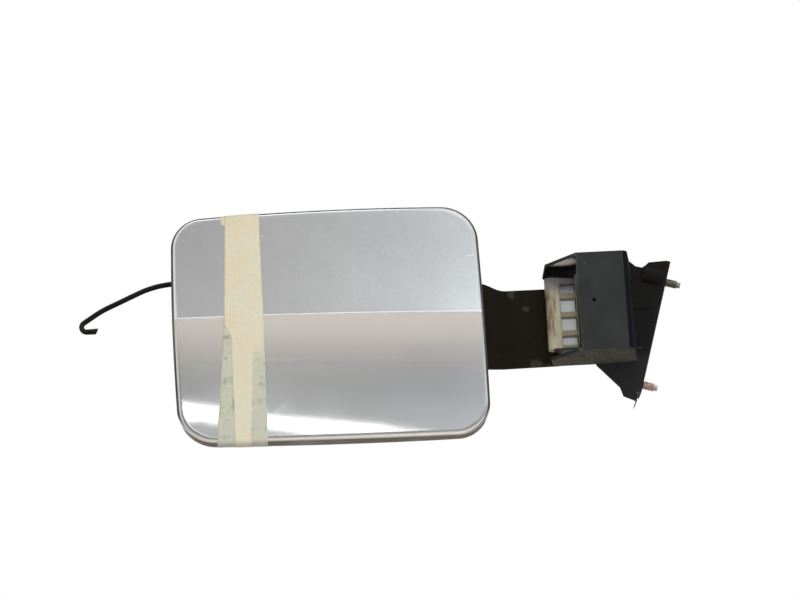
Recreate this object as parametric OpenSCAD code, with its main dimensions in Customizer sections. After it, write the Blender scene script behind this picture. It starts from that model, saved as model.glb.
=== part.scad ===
// Car fuel door: a crowned and creased hemmed flap on a swan-neck arm, whose moulded hinge block
// turns on an upright pin inside a pressed bracket. Millimetres, +Z up, X along the car's side,
// Y into the car. The origin is midway between the two mounting studs, on the flange's outer face.

/* [Flap] */
// Width of the flap across its middle
flap_w = 178; // [160:1:195]
// Height of the flap across its middle
flap_h = 136; // [124:1:150]
// Depth from the rim's plane to the back of the hem
flap_depth = 8.5; // [7:0.5:10]
// How far the left edge falls in towards the corners
left_bulge = 1.5; // [0.5:0.1:3]
// How far the right edge falls in towards the corners
right_bulge = 0.7; // [0.5:0.1:3]
// How far the top and bottom edges fall in towards the corners
end_bulge = 1.4; // [0.5:0.1:3]
// Radius of the top left corner
corner_tl = 18; // [12:1:28]
// Radius of the top right corner
corner_tr = 19; // [12:1:28]
// Radius of the bottom right corner
corner_br = 16; // [12:1:28]
// Radius of the bottom left corner
corner_bl = 23; // [12:1:28]
// How far the middle stands proud of the left and right edges
crown = 3.5; // [2:0.5:5]
// How far the crease stands proud of the top and bottom edges
ridge_h = 2.5; // [1:0.5:4]
// Height of the crease over the flap's centre
crease_z = 4.4; // [0:0.2:10]
// Slope of the crease, down to the right, in degrees
crease_tilt = 1.35; // [0:0.05:3]

/* [Sheet] */
// Thickness of the outer skin
skin_t = 0.8; // [0.6:0.1:1.2]
// Width of the hem folded in behind the rim
hem_w = 7; // [5:0.5:9]
// Thickness of the inner panel
panel_t = 0.8; // [0.6:0.1:1.2]
// Depth of the tray pressed into the inner panel
tray_depth = 2.6; // [1:0.2:3.4]

/* [Hinge arm] */
// Thickness of the arm's strip
arm_t = 2.5; // [2:0.1:3]
// Height of the arm along its neck
arm_h = 47; // [40:0.5:48]
// How far the arm's middle lies under the hinge's middle
arm_below = 3.5; // [2:0.1:3.6]
// How much the arm widens upwards at the flap
arm_flare = 6.2; // [0:0.2:7]
// How much the arm widens downwards at the flap
arm_foot_flare = 1.7; // [0:0.1:3]
// How far behind the rim's plane the bottom of the neck lies
neck_depth = 56.5; // [52:0.5:62]
// Bend radius of the neck, at the strip's middle
neck_r = 18; // [12:1:24]
// Height of the tab that is moulded into the hinge block
tab_h = 36; // [28:1:40]

/* [Hinge block] */
// Height of the moulded block
block_h = 43; // [38:0.5:46]
// Thickness of the block's face and round nose
nose_t = 8; // [7:0.5:9]
// How far the nose reaches from the pin's axis
nose_reach = 23.5; // [21:0.5:24]
// Height of the rib across the block's middle
mid_rib = 3; // [2:0.2:4]
// Height of each of the two inner pockets
inner_pocket = 8.2; // [6:0.2:9]
// Height of the ribs between the pockets
side_rib = 3.2; // [2:0.2:4]
// Height of each of the two outer pockets
outer_pocket = 5.7; // [4:0.2:6]
// Depth of the pockets
pocket_depth = 6; // [3:0.5:6.5]

/* [Hinge] */
// Diameter of the hinge pin
pin_d = 5; // [4:0.5:6]
// Running clearance of the block on the pin, at the radius
pin_gap = 0.05; // [0.02:0.01:0.1]
// From the pin's axis to the flap's right edge
hinge_reach = 62; // [60:0.5:70]
// How far behind the rim's plane the pin lies
hinge_behind = 32; // [30:0.5:34]
// Height of the hinge's middle over the flap's centre
hinge_above = 8.9; // [4:0.1:12]
// Wire of the torsion spring
spring_wire = 1.2; // [1:0.1:1.4]

/* [Bracket] */
// Thickness of the bracket's sheet
bracket_t = 2; // [1.6:0.1:2.4]
// Outer height of the housing round the hinge
housing_h = 57.2; // [56:0.2:64]
// From the pin's axis forward to the housing's face
housing_front = 22; // [21:0.5:26]
// From the pin's axis back to the housing's open back
housing_back = 13; // [11:0.5:15]
// From the pin's axis left to the free edge of the housing's face
face_left = 6.7; // [5:0.1:7.5]
// From the pin's axis right to the housing's front corner
face_right = 23; // [18:0.5:26]
// How far the right wall leans out towards the back
wall_flare = 6.1; // [0:0.1:7]
// From the pin's axis left to the front ends of the upper and lower walls
wall_left = 23.2; // [20:0.1:26]
// From the pin's axis back to the deepest part of the upper wall
upper_back = 24; // [20:0.5:26]

/* [Mounting] */
// Distance between the two mounting studs
stud_pitch = 64.5; // [54:0.5:66]
// Diameter of the mounting studs
stud_d = 5; // [4:0.5:6]
// How far the studs stand out of the flange
stud_out = 8.8; // [8:0.1:14]
// Lean of the mounting flange from the upright, in degrees
flange_tilt = 16.5; // [10:0.5:20]
// Width of the mounting flange
flange_w = 20; // [17:1:24]
// From the studs' middle left to the pin's axis
mount_to_pin = 40.5; // [38:0.1:46]
// Height of the hinge's middle over the studs' middle
pin_over_mount = 9.9; // [8:0.1:12]

/* [Lock and buffers] */
// Diameter of the eye that the lock's bolt enters
eye_d = 8; // [6:0.5:9]
// How far the lock catch stands out behind the inner panel
catch_out = 24; // [18:1:26]
// Diameter of a rubber buffer's head
buffer_d = 12; // [10:0.5:14]
// Height of a rubber buffer's head
buffer_h = 6; // [4:0.5:8]
// From the flap's top and bottom edges in to the buffers' middles
buffer_inset = 21; // [19:0.5:28]

/* [Rod and tape] */
// Diameter of the hooked rod
rod_d = 3; // [2.4:0.1:3.4]
// Height of the rod over the flap's centre
rod_z = 30.2; // [27:0.2:32]
// Thickness of the masking tape
tape_t = 0.25; // [0.15:0.05:0.3]

/* [Hidden] */

curve_fn = 64;         // fineness of every true curve
corner_steps = 8;      // straight lines in a quarter turn of the flap's outline
bend_steps = 10;       // straight lines in a bend of folded sheet
profile_steps = 8;     // bands of the face on each side of the crease
edge_step = 22;        // longest straight line along a bulged edge
seat_gap = 0.03;       // between pieces of one body that are pressed or moulded together
far = 400;             // longer than the part

half_w = flap_w/2;
half_h = flap_h/2;
crown_r = half_w*half_w/(2*crown) + crown/2;
panel_back = flap_depth - skin_t;          // back face of the inner panel
panel_front = panel_back - panel_t;
pin_at = [half_w + hinge_reach, hinge_behind, hinge_above];           // from the flap's centre
pin_in_row = [-mount_to_pin, -(flange_w/2 + housing_back), pin_over_mount];
flap_in_row = pin_in_row - pin_at;

module at_flap() translate(flap_in_row) children();
module at_pin() translate(pin_in_row) children();

// Stands a flat outline upright, facing -Y, between two depths.
module across(y0, y1) translate([0, y1, 0]) rotate([90, 0, 0]) linear_extrude(y1 - y0) children();

// Points of a quarter turn that starts at the given angle.
function quarter(centre, radius, from) =
    [for (k = [0:corner_steps]) let (a = from + 90*k/corner_steps) centre + radius*[cos(a), sin(a)]];

// A closed outline with its long lines cut into shorter ones.
function split_long(points, step) =
    [for (i = [0:len(points) - 1])
        let (p = points[i], q = points[(i + 1) % len(points)], n = max(1, ceil(norm(q - p)/step)))
        for (k = [0:n - 1]) p + (q - p)*k/n];

// A rectangle with its own radius at each corner, from the top right round to the left.
function rounded(x, z, radii) = concat(
    quarter([x - radii[0], z - radii[0]], radii[0], 0),
    quarter([radii[1] - x, z - radii[1]], radii[1], 90),
    quarter([radii[2] - x, radii[2] - z], radii[2], 180),
    quarter([x - radii[3], radii[3] - z], radii[3], 270));

// Moves a point of the plain rectangle in, so that each edge bulges at its middle.
function bulged(p) =
    let (u = p[0]/half_w, v = p[1]/half_h, side = p[0] < 0 ? left_bulge : right_bulge)
    [p[0]*(1 - side*v*v/half_w), p[1]*(1 - end_bulge*u*u/half_h)];

function flap_outline(inset) =
    [for (p = split_long(rounded(half_w - inset, half_h - inset,
        [for (r = [corner_tr, corner_tl, corner_bl, corner_br]) max(r - inset, 2)]), edge_step)) bulged(p)];

// Height of the ridge over the plain crown: it fades out to both edges in a hollow curve.
function ridge(z) =
    let (span = z > crease_z ? half_h - crease_z : half_h + crease_z, s = min(1, abs(z - crease_z)/span))
    ridge_h*pow(1 - s, 2);

// Everything behind the crowned and creased face, grown outwards.
module crowned_block(grow) {
    reach = half_h + 12;
    block_depth = 40;
    spread = 2*asin((half_w + 8)/(crown_r + ridge_h));
    levels = concat([-reach],
        [for (k = [0:profile_steps]) -half_h + (crease_z + half_h)*k/profile_steps],
        [for (k = [1:profile_steps]) crease_z + (half_h - crease_z)*k/profile_steps], [reach]);
    rotate([0, crease_tilt, 0])
        translate([0, crown_r - crown, 0])
            rotate([0, 0, -90 - spread/2])
                rotate_extrude(angle = spread, $fn = 256)
                    polygon(concat([[crown_r - block_depth, -reach]],
                        [for (z = levels) [crown_r + ridge(z) + grow, z]],
                        [[crown_r - block_depth, reach]]));
}

// The closed flap, grown outwards on every side.
module flap_envelope(grow) {
    front_room = crown + ridge_h + 4;
    intersection() {
        crowned_block(grow);
        across(-front_room, flap_depth + grow) polygon(flap_outline(-grow));
    }
}

// A bent path: corner points with a radius each become [point, heading] pairs.
function heading(p, q) = atan2(q[1] - p[1], q[0] - p[0]);
function turn(a, b) = let (d = b - a) d > 180 ? d - 360 : d < -180 ? d + 360 : d;
function corner_bend(p, q, s, r) =
    let (h = heading(p, q), d = turn(h, heading(q, s)), side = sign(d),
         start = q - r*tan(abs(d)/2)*[cos(h), sin(h)], centre = start + r*side*[-sin(h), cos(h)])
    [for (k = [0:bend_steps]) let (a = h + d*k/bend_steps) [centre + r*side*[sin(a), -cos(a)], a]];
function bent_path(points, radii) =
    let (last = len(points) - 1)
    concat([[points[0], heading(points[0], points[1])]],
        [for (i = [1:last - 1]) each corner_bend(points[i - 1], points[i], points[i + 1], radii[i - 1])],
        [[points[last], heading(points[last - 1], points[last])]]);

// The outline of a folded strip, seen along its width.
function strip(path, t) = concat(
    [for (s = path) s[0] + t/2*[-sin(s[1]), cos(s[1])]],
    [for (i = [len(path) - 1:-1:0]) path[i][0] - t/2*[-sin(path[i][1]), cos(path[i][1])]]);

// A round wire along 3-D points. The upright direction never lies along the wire.
module wire(points, r, sides, upright) {
    n = len(points);
    rings = [for (i = [0:n - 1])
        let (ahead = points[min(i + 1, n - 1)] - points[max(i - 1, 0)], along = ahead/norm(ahead),
             across_it = cross(along, upright), a1 = across_it/norm(across_it), a2 = cross(a1, along))
        [for (k = [0:sides - 1]) points[i] + r*(cos(360*k/sides)*a1 + sin(360*k/sides)*a2)]];
    polyhedron([for (ring = rings) each ring], concat(
        [[for (k = [0:sides - 1]) sides - 1 - k]],
        [for (i = [0:n - 2], k = [0:sides - 1])
            let (b = i*sides, k1 = (k + 1) % sides) [b + k, b + k1, b + sides + k1, b + sides + k]],
        [[for (k = [0:sides - 1]) (n - 1)*sides + k]]));
}

/* The bracket: one pressing of housing, plate and mounting flange. */

face_corner_r = 4;     // outer bend radius at the housing's right front corner
plate_top = 41.5;      // top of the plate at the flange
plate_foot = 36.7;     // bottom of the flange under the studs' middle
wall_slant_y = 0.5;    // the walls' left ends stop this far behind the pin's axis
ear_left = 36.5;       // where the plate's lower ear leaves the lower wall
flange_bend_r = 3;
bead_r = 2.4;
bead_heights = [14.2, -9];
stud_bulge_r = 5;
locating_hole_d = 2.2;

plate_front = -flange_w/2;                       // the plate's face, in the row's frame
housing_half = housing_h/2;
wall_back_x = face_right + wall_flare - 1.5;     // middle of the right wall at its back end

// The plate's right edge is the flange's outer face.
function flange_x(z) = z*tan(flange_tilt);

// The housing's face and right wall as one bent strip, seen from above.
face_mid = bracket_t/2 - housing_front;
housing_path = bent_path([[-face_left, face_mid], [face_right - bracket_t/2, face_mid],
    [wall_back_x, housing_back + bracket_t/2]], [face_corner_r - bracket_t/2]);

module housing_face_and_wall() {
    translate([0, 0, -housing_half]) linear_extrude(housing_h) polygon(strip(housing_path, bracket_t));
}

// The upper or lower wall, seen from above: it ends on the strip's outer side and inside the plate.
module wall_outline(back) {
    polygon(concat([for (s = housing_path) s[0] - bracket_t/2*[-sin(s[1]), cos(s[1])]],
        back, [[-wall_left, wall_slant_y]]));
}
upper_wall_back = [[-2, upper_back], [-wall_left, upper_back]];
lower_wall_back = [[bracket_t - wall_left, housing_back + bracket_t/2], [bracket_t - wall_left, housing_back]];

// The plate, its lower ear and the flange are one sheet, bent once along the tilted corner.
module plate_and_flange() {
    wall_x = wall_back_x + pin_in_row[0];
    housing_top = pin_in_row[2] + housing_half;
    housing_foot = pin_in_row[2] - housing_half;
    path = bent_path([[-far/4, plate_front + bracket_t/2], [-bracket_t/2, plate_front + bracket_t/2],
        [-bracket_t/2, flange_w/2]], [flange_bend_r]);
    outline = [[wall_x, housing_top + 4], [flange_x(plate_top) - 21.3, plate_top - 2.5],
        [flange_x(plate_top) - 17.6, plate_top - 3.5], [flange_x(plate_top) - 15.4, plate_top - 2.2],
        [flange_x(plate_top) - 13.4, plate_top - 0.5], [flange_x(plate_top) - flange_bend_r, plate_top],
        [flange_x(plate_top) + 5, plate_top], [flange_x(-plate_foot) + 5, -plate_foot],
        [flange_x(-plate_foot) - flange_bend_r, -plate_foot], [flange_x(-plate_foot) - 3.4, -plate_foot - 5.9],
        [flange_x(-plate_foot) - 11, -plate_foot - 2.5], [flange_x(-plate_foot) - 12.7, -plate_foot + 3],
        [-ear_left, housing_foot - 1], [-ear_left, housing_foot + bracket_t/2],
        [wall_x, housing_foot + bracket_t/2]];
    intersection() {
        rotate([0, flange_tilt, 0])
            translate([0, 0, -far/2]) linear_extrude(far) polygon(strip(path, bracket_t));
        across(-far/2, far/2) polygon(outline);
    }
}

// Half-round stiffening beads, pressed forward out of the plate between the housing and the flange.
module plate_bead(z, r) {
    wall_x = wall_back_x + pin_in_row[0];
    len = flange_x(z) - flange_bend_r - 1.5 - wall_x;
    translate([wall_x, plate_front + bracket_t/2, z]) rotate([0, 90, 0])
        rotate_extrude($fn = curve_fn) polygon([[0, 0], [r, 0], [r, len - r], [r/2, len], [0, len]]);
}

module stud_bulge() {
    rotate([0, flange_tilt, 0])
        translate([-14, plate_front + bracket_t/2, stud_pitch/2 - 1]) rotate([0, 90, 0])
            cylinder(h = 11.8, r = stud_bulge_r, $fn = curve_fn);
}

module behind_plate() translate([-far/2, plate_front + bracket_t/2, -far/2]) cube([far, far, far]);

module hinge_bracket() color([0.17, 0.175, 0.175]) difference() {
    union() {
        at_pin() {
            housing_face_and_wall();
            translate([0, 0, -housing_half]) linear_extrude(bracket_t) wall_outline(lower_wall_back);
            translate([0, 0, housing_half - bracket_t]) linear_extrude(bracket_t) wall_outline(upper_wall_back);
        }
        plate_and_flange();
        difference() {
            union() {
                for (z = bead_heights) plate_bead(z, bead_r);
                stud_bulge();
            }
            behind_plate();
        }
    }
    at_pin() {
        translate([0, 0, -housing_h]) cylinder(h = 2*housing_h, d = pin_d + 2*seat_gap, $fn = curve_fn);
        translate([2.2, -housing_front - 1, 0.4]) rotate([-90, 0, 0])
            cylinder(h = bracket_t + 2, d = locating_hole_d, $fn = curve_fn);
    }
    for (side = [-1, 1]) at_stud(side) translate([-bracket_t - 1, 0, 0]) rotate([0, 90, 0])
        cylinder(h = bracket_t + 2, r = shoulder_r + seat_gap, $fn = curve_fn);
}

shoulder_r = stud_d/2 + 0.3;   // of each stud inside the flange

module at_stud(side) rotate([0, flange_tilt, 0]) translate([0, 0, side*stud_pitch/2]) children();

// A weld stud: a round head and a shoulder inside the flange, and a shank with a chamfered dog point.
module stud(side) {
    head_r = stud_d + 0.5;
    head_h = 1.5;
    point = 1.8;
    at_stud(side) rotate([0, 90, 0]) rotate_extrude($fn = curve_fn)
        polygon([[0, -bracket_t - head_h], [head_r, -bracket_t - head_h], [head_r, -bracket_t],
            [shoulder_r, -bracket_t], [shoulder_r, 0], [stud_d/2, 0], [stud_d/2, stud_out - point - 0.8],
            [stud_d/2 - 0.8, stud_out - point], [stud_d/2 - 0.8, stud_out - 0.3],
            [stud_d/2 - 1.1, stud_out], [0, stud_out]]);
}

module stud_upper() color([0.62, 0.62, 0.56]) stud(1);
module stud_lower() color([0.62, 0.48, 0.4]) stud(-1);

/* The hinge: pin, torsion spring and moulded block. */

pin_head_h = 1.6;
pin_foot = 0.6;        // how far the staked end stands out under the lower wall

module hinge_pin() color([0.5, 0.5, 0.5]) at_pin() rotate_extrude($fn = curve_fn)
    polygon([[0, -housing_half - pin_foot], [pin_d/2 - 0.4, -housing_half - pin_foot],
        [pin_d/2, -housing_half - pin_foot + 0.4], [pin_d/2, housing_half], [pin_d/2 + 1.8, housing_half],
        [pin_d/2 + 1.8, housing_half + pin_head_h - 0.5], [pin_d/2 + 1.3, housing_half + pin_head_h],
        [0, housing_half + pin_head_h]]);

boss_r = 6.5;          // of the block round the pin
web_r = boss_r - 1;    // the web's corners lie inside the boss
web_left = 5.85;       // where the web leaves the block's face, left of the pin's axis
boss_gap = 0.3;        // between the block's foot and the lower wall
face_y = 6.3;          // the block's face lies this far behind the pin's axis
tab_y = 16;            // middle of the arm's tab behind the pin's axis
tab_end = 3.5;         // the tab stops this far left of the pin's axis
tab_bend_r = 3.5;
neck_y = neck_depth - hinge_behind;    // the neck's bottom lies this far behind the pin's axis
function tab_points(end) = [[-16, neck_y], [-8.5, tab_y], [-end, tab_y]];
block_back = tab_y + arm_t/2 + 2;
tab_start = nose_reach - 6.4;
nose_r = nose_t/2;

// The block seen from above, with the pin's axis at the origin: a round nose, a face, a thicker
// back round the arm's tab and a web to the boss.
module block_outline() {
    nose = concat(quarter([nose_r - nose_reach, face_y + nose_r], nose_r, 90),
        quarter([nose_r - nose_reach, face_y + nose_r], nose_r, 180));
    polygon(concat(nose, [[-web_left, face_y], web_r*[cos(215), sin(215)], [0, 0],
        web_r*[cos(20), sin(20)], [-1.5, block_back - 3], [-3, block_back],
        [-tab_start, block_back], [-tab_start, face_y + nose_t]]));
}

module hinge_block() color([0.82, 0.78, 0.66]) at_pin() difference() {
    half_inner = mid_rib/2;
    half_outer = half_inner + inner_pocket + side_rib;
    foot = housing_half - bracket_t - boss_gap;
    pocket_left = nose_reach - 8.4;
    pocket_w = 11;
    union() {
        translate([0, 0, -block_h/2]) linear_extrude(block_h) block_outline();
        translate([0, 0, -foot]) cylinder(h = foot + block_h/2, r = boss_r, $fn = curve_fn);
    }
    translate([0, 0, -housing_h]) cylinder(h = 2*housing_h, d = pin_d + 2*pin_gap, $fn = curve_fn);
    for (p = [[half_inner, inner_pocket], [half_outer, outer_pocket]], up = [0, 1])
        mirror([0, 0, up]) translate([-pocket_left, face_y - 1, p[0]]) cube([pocket_w, pocket_depth + 1, p[1]]);
    translate([0, 0, -tab_h/2 - seat_gap]) linear_extrude(tab_h + 2*seat_gap)
        polygon(strip(bent_path(concat([[-tab_start - 8, neck_y]], tab_points(tab_end - seat_gap)),
            [tab_bend_r, tab_bend_r]), arm_t + 2*seat_gap));
}

spring_leg = 15;
spring_start = 60;     // where the lower leg leaves the coil, in degrees round the pin
spring_turns = 2 + spring_start/360;
spring_pitch = 1.3;

// The coil lies round the pin between the block's top and the upper wall: its lower leg lies on the
// block and its upper leg rests behind the housing's face.
module torsion_spring() color([0.25, 0.25, 0.26]) at_pin() {
    coil_r = pin_d/2 + 2.2;
    steps = 24;
    low = block_h/2 + spring_wire/2 + 0.1;
    count = round(spring_turns*steps);
    coil = [for (k = [0:count]) let (a = spring_start - 360*k/steps)
        [coil_r*cos(a), coil_r*sin(a), low + spring_pitch*k/steps]];
    lower_leg = coil[0] + spring_leg*[-sin(spring_start), cos(spring_start), 0];
    upper_leg = [coil[count][0], bracket_t + spring_wire/2 + 0.1 - housing_front, coil[count][2]];
    wire(concat([lower_leg], coil, [upper_leg]), spring_wire/2, 8, [0, 0, 1]);
}

/* The flap: skin, inner panel and what is fixed behind them. */

buffer_x = 14 - half_w;
buffer_z = half_h - buffer_inset;
buffer_hole_d = 8;
screw_x = half_w - 41;
arm_z = hinge_above - arm_below;       // height of the arm's middle over the flap's centre
screw_rise = 14;       // of each screw over and under the arm's middle
screw_d = 5;
catch_x = 19.5 - half_w;     // middle of the catch's foot
catch_foot_w = 12;
catch_h = 28;
catch_t = 2;
rivet_d = 3.4;
rivet_rise = 9.5;

module outer_skin() color([0.68, 0.69, 0.69]) at_flap() difference() {
    flap_envelope(0);
    flap_envelope(-skin_t);
    across(panel_front, flap_depth + 1) polygon(flap_outline(hem_w));
}

// The tray pressed forward out of the inner panel, between the catch and the arm's pad.
tray_from_left = 28;
tray_from_right = 62;
tray_from_end = 18;
tray_x = (tray_from_left - tray_from_right)/2;
tray_w = flap_w - tray_from_left - tray_from_right;
tray_h = flap_h - 2*tray_from_end;
tray_r = 10;
module tray(grow, y0, y1) {
    draft = 0.965;
    translate([tray_x, y1, 0]) rotate([90, 0, 0]) linear_extrude(y1 - y0, scale = draft)
        polygon(rounded(tray_w/2 + grow, tray_h/2 + grow, [for (k = [0:3]) tray_r + grow]));
}

module inner_panel() color([0.6, 0.61, 0.61]) at_flap() difference() {
    union() {
        across(panel_front, panel_back) polygon(flap_outline(skin_t + 0.4));
        tray(panel_t, panel_front - tray_depth, panel_front + 0.1);
    }
    tray(0, panel_back - tray_depth, panel_back + 0.1);
    for (z = [-1, 1]*buffer_z) translate([buffer_x, panel_back + 1, z]) rotate([90, 0, 0])
        cylinder(h = panel_t + 2, d = buffer_hole_d, $fn = curve_fn);
    for (z = [-1, 1]*screw_rise) translate([screw_x, panel_back + 1, arm_z + z]) rotate([90, 0, 0])
        cylinder(h = panel_t + 2, d = screw_d + 0.5, $fn = curve_fn);
    for (z = [-1, 1]*rivet_rise) translate([catch_x, panel_back + 1, z]) rotate([90, 0, 0])
        cylinder(h = panel_t + 2, d = rivet_d + 2*seat_gap, $fn = curve_fn);
}

// Dabs of mastic that fill the gap between the skin and the tray.
bead_in = 16;          // from the tray's edges in to the dabs' middles
module mastic_beads() color([0.15, 0.15, 0.15]) at_flap() intersection() {
    crowned_block(-skin_t);
    for (x = [-1, 1]*(tray_w/2 - bead_in), z = [-1, 1]*(tray_h/2 - bead_in - 2))
        translate([tray_x + x, panel_front - tray_depth, z]) rotate([90, 0, 0])
            cylinder(h = 30, d = 13, $fn = curve_fn);
}

arm_mid_y = panel_back + arm_t/2;
arm_left = half_w - 53;
riser_x = half_w - 6;
arm_path = bent_path(concat([[arm_left, arm_mid_y], [riser_x, arm_mid_y], [riser_x, neck_depth]],
    [for (p = tab_points(tab_end)) [pin_at[0], hinge_behind] + p]), [5, neck_r, tab_bend_r, tab_bend_r]);

// One edge of the arm, as heights from its middle: it flares towards the flap's edge.
flare_len = 17;
neck_end = 17;         // the arm keeps its full height up to here, left of the pin's axis
function arm_side(flare, tab_edge) =
    let (at_flap = arm_h/2 + flare)
    concat([[arm_left, at_flap - 12], [arm_left + 6, at_flap - 5], [arm_left + 16, at_flap - 1]],
        [for (k = [0:8]) [half_w + flare_len*k/8, arm_h/2 + flare*pow(1 - k/8, 2)]],
        [[pin_at[0] - neck_end, arm_h/2], [pin_at[0] - neck_end + 3.5, tab_edge], [pin_at[0] - tab_end, tab_edge]]);
arm_outline = concat(arm_side(arm_flare, tab_h/2 + arm_below),
    [for (p = [for (k = [12 + 2:-1:0]) arm_side(arm_foot_flare, tab_h/2 - arm_below)[k]]) [p[0], -p[1]]]);

module hinge_arm() color([0.16, 0.14, 0.12]) at_flap() difference() {
    intersection() {
        translate([0, 0, arm_z - arm_h]) linear_extrude(2*arm_h) polygon(strip(arm_path, arm_t));
        translate([0, 0, arm_z]) across(0, neck_depth + 10) polygon(arm_outline);
    }
    for (z = [-1, 1]*screw_rise) translate([screw_x, panel_back + arm_t + 1, arm_z + z]) rotate([90, 0, 0])
        cylinder(h = arm_t + 2, d = screw_d + 0.5, $fn = curve_fn);
}

// A flanged hexagon screw that clamps the arm's pad to the inner panel.
module flap_screw(side) at_flap() translate([screw_x, panel_back + arm_t, arm_z + side*screw_rise])
    rotate([-90, 0, 0]) {
        translate([0, 0, 1]) cylinder(h = 3.5, d = 9.2, $fn = 6);
        cylinder(h = 1.2, d = 11, $fn = curve_fn);
        translate([0, 0, -9]) cylinder(h = 9.1, d = screw_d, $fn = curve_fn);
    }
module flap_screw_upper() color([0.6, 0.58, 0.5]) flap_screw(1);
module flap_screw_lower() color([0.6, 0.58, 0.5]) flap_screw(-1);

module weld_nut(side) at_flap() translate([screw_x, panel_front, arm_z + side*screw_rise])
    rotate([90, 0, 0]) difference() {
        cylinder(h = 4, d = 10.4, $fn = 6);
        translate([0, 0, -1]) cylinder(h = 6, d = screw_d + 2*seat_gap, $fn = curve_fn);
    }
module weld_nut_upper() color([0.55, 0.55, 0.55]) weld_nut(1);
module weld_nut_lower() color([0.55, 0.55, 0.55]) weld_nut(-1);

// A rubber buffer: a domed head behind the panel, a neck in its hole and a barb in front.
module buffer(side) at_flap() translate([buffer_x, panel_back, side*buffer_z]) rotate([-90, 0, 0])
    rotate_extrude($fn = curve_fn) polygon([[0, -panel_t - 2.4], [2.4, -panel_t - 2.4],
        [buffer_hole_d/2 + 0.8, -panel_t - 0.6], [buffer_hole_d/2 + 0.8, -panel_t], [buffer_hole_d/2 - seat_gap, -panel_t],
        [buffer_hole_d/2 - seat_gap, 0], [buffer_d/2, 0], [buffer_d/2, buffer_h - 2.5],
        [buffer_d/2 - 0.9, buffer_h - 0.9], [buffer_d/2 - 2.6, buffer_h], [0, buffer_h]]);
module buffer_upper() color([0.1, 0.1, 0.1]) buffer(1);
module buffer_lower() color([0.1, 0.1, 0.1]) buffer(-1);

// The lock catch: a riveted foot and an upright tongue with the eye for the lock's bolt.
catch_tongue_h = 16;
module lock_catch() color([0.55, 0.55, 0.53]) at_flap() difference() {
    tongue_x = catch_x - catch_foot_w/2 + catch_t/2;
    path = bent_path([[catch_x + catch_foot_w/2, panel_back + catch_t/2], [tongue_x, panel_back + catch_t/2],
        [tongue_x, panel_back + catch_out]], [catch_t]);
    union() {
        translate([0, 0, -catch_tongue_h/2]) linear_extrude(catch_tongue_h) polygon(strip(path, catch_t));
        translate([catch_x - 2.5, 0, 0]) across(panel_back, panel_back + catch_t)
            polygon(rounded_tab(catch_foot_w/2 + 2.5, catch_h/2, 3));
    }
    translate([tongue_x - catch_t, panel_back + catch_out - eye_d/2 - 3.5, 0]) rotate([0, 90, 0])
        cylinder(h = 2*catch_t, d = eye_d, $fn = curve_fn);
    for (z = [-1, 1]*rivet_rise) translate([catch_x, panel_back + catch_t + 1, z]) rotate([90, 0, 0])
        cylinder(h = catch_t + 2, d = rivet_d + 2*seat_gap, $fn = curve_fn);
}
function rounded_tab(w, h, r) = concat([[0, h - r], [0, r - h]], quarter([w - r, r - h], r, 270), quarter([w - r, h - r], r, 0));

module catch_rivet(side) at_flap() translate([catch_x, panel_back + catch_t, side*rivet_rise])
    rotate([-90, 0, 0]) rotate_extrude($fn = curve_fn) polygon([[0, -catch_t - panel_t - 1],
        [2.7, -catch_t - panel_t - 1], [2.7, -catch_t - panel_t], [rivet_d/2, -catch_t - panel_t],
        [rivet_d/2, 0], [3.1, 0], [2.9, 0.8], [2, 1.4], [0, 1.6]]);
module catch_rivet_upper() color([0.5, 0.5, 0.5]) catch_rivet(1);
module catch_rivet_lower() color([0.5, 0.5, 0.5]) catch_rivet(-1);

/* The loose rod behind the flap, and the tape that holds it there. */

rod_y = flap_depth + rod_d/2 + 0.3;
rod_end = 12;          // the rod's plain end, right of the flap's centre
rod_path = bent_path([[rod_end, rod_z], [-half_w - 9, rod_z], [-half_w - 33, rod_z - 8.4],
    [-half_w - 59, rod_z - 25.1], [-half_w - 44.9, rod_z - 25.8]], [90, 80, 2.4]);

module hooked_rod() color([0.12, 0.12, 0.12]) at_flap()
    wire([for (s = rod_path) [s[0][0], rod_y, s[0][1]]], rod_d/2, 14, [0, 1, 0]);

// The flap's envelope with a tent over the rod, grown outwards.
module wrap_envelope(grow) {
    foot = 12;
    flap_envelope(grow);
    translate([-half_w, 0, rod_z]) rotate([90, 0, 90]) linear_extrude(flap_w)
        polygon([[flap_depth - 1, -foot - grow], [flap_depth + grow, -foot - grow],
            [rod_y + rod_d/2 + grow, -rod_d/2], [rod_y + rod_d/2 + grow, rod_d/2],
            [flap_depth + grow, foot + grow], [flap_depth - 1, foot + grow]]);
}

// One turn of tape: its left and right edges, as distances from the flap's left edge, at the flap's
// top, middle and bottom.
module tape_turn(left, right, lift) at_flap() intersection() {
    levels = [half_h + 3, 0, -half_h - 3];
    across(-20, 30) polygon(concat([for (k = [0:2]) [left[k] - half_w, levels[k]]],
        [for (k = [2:-1:0]) [right[k] - half_w, levels[k]]]));
    difference() {
        wrap_envelope(lift + tape_t);
        wrap_envelope(lift);
    }
}
tape_seat = 0.05;
module tape_first_turn() color([0.78, 0.76, 0.64]) tape_turn([32.2, 29.2, 22.7], [51, 49.6, 41.5], tape_seat);
module tape_second_turn() color([0.86, 0.82, 0.69]) tape_turn([32.4, 33.1, 33.2], [51.7, 52, 51.6], 2*tape_seat + tape_t);

hinge_bracket();
stud_upper();
stud_lower();
hinge_pin();
torsion_spring();
outer_skin();
inner_panel();
mastic_beads();
hinge_arm();
hinge_block();
flap_screw_upper();
flap_screw_lower();
weld_nut_upper();
weld_nut_lower();
buffer_upper();
buffer_lower();
lock_catch();
catch_rivet_upper();
catch_rivet_lower();
hooked_rod();
tape_first_turn();
tape_second_turn();
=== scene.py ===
# Looks of the car fuel door: silver flap with two turns of masking tape and a loose rod, swan-neck
# arm, moulded hinge block and pressed black bracket. Lengths in the dictionaries are millimetres.
import math

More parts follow.
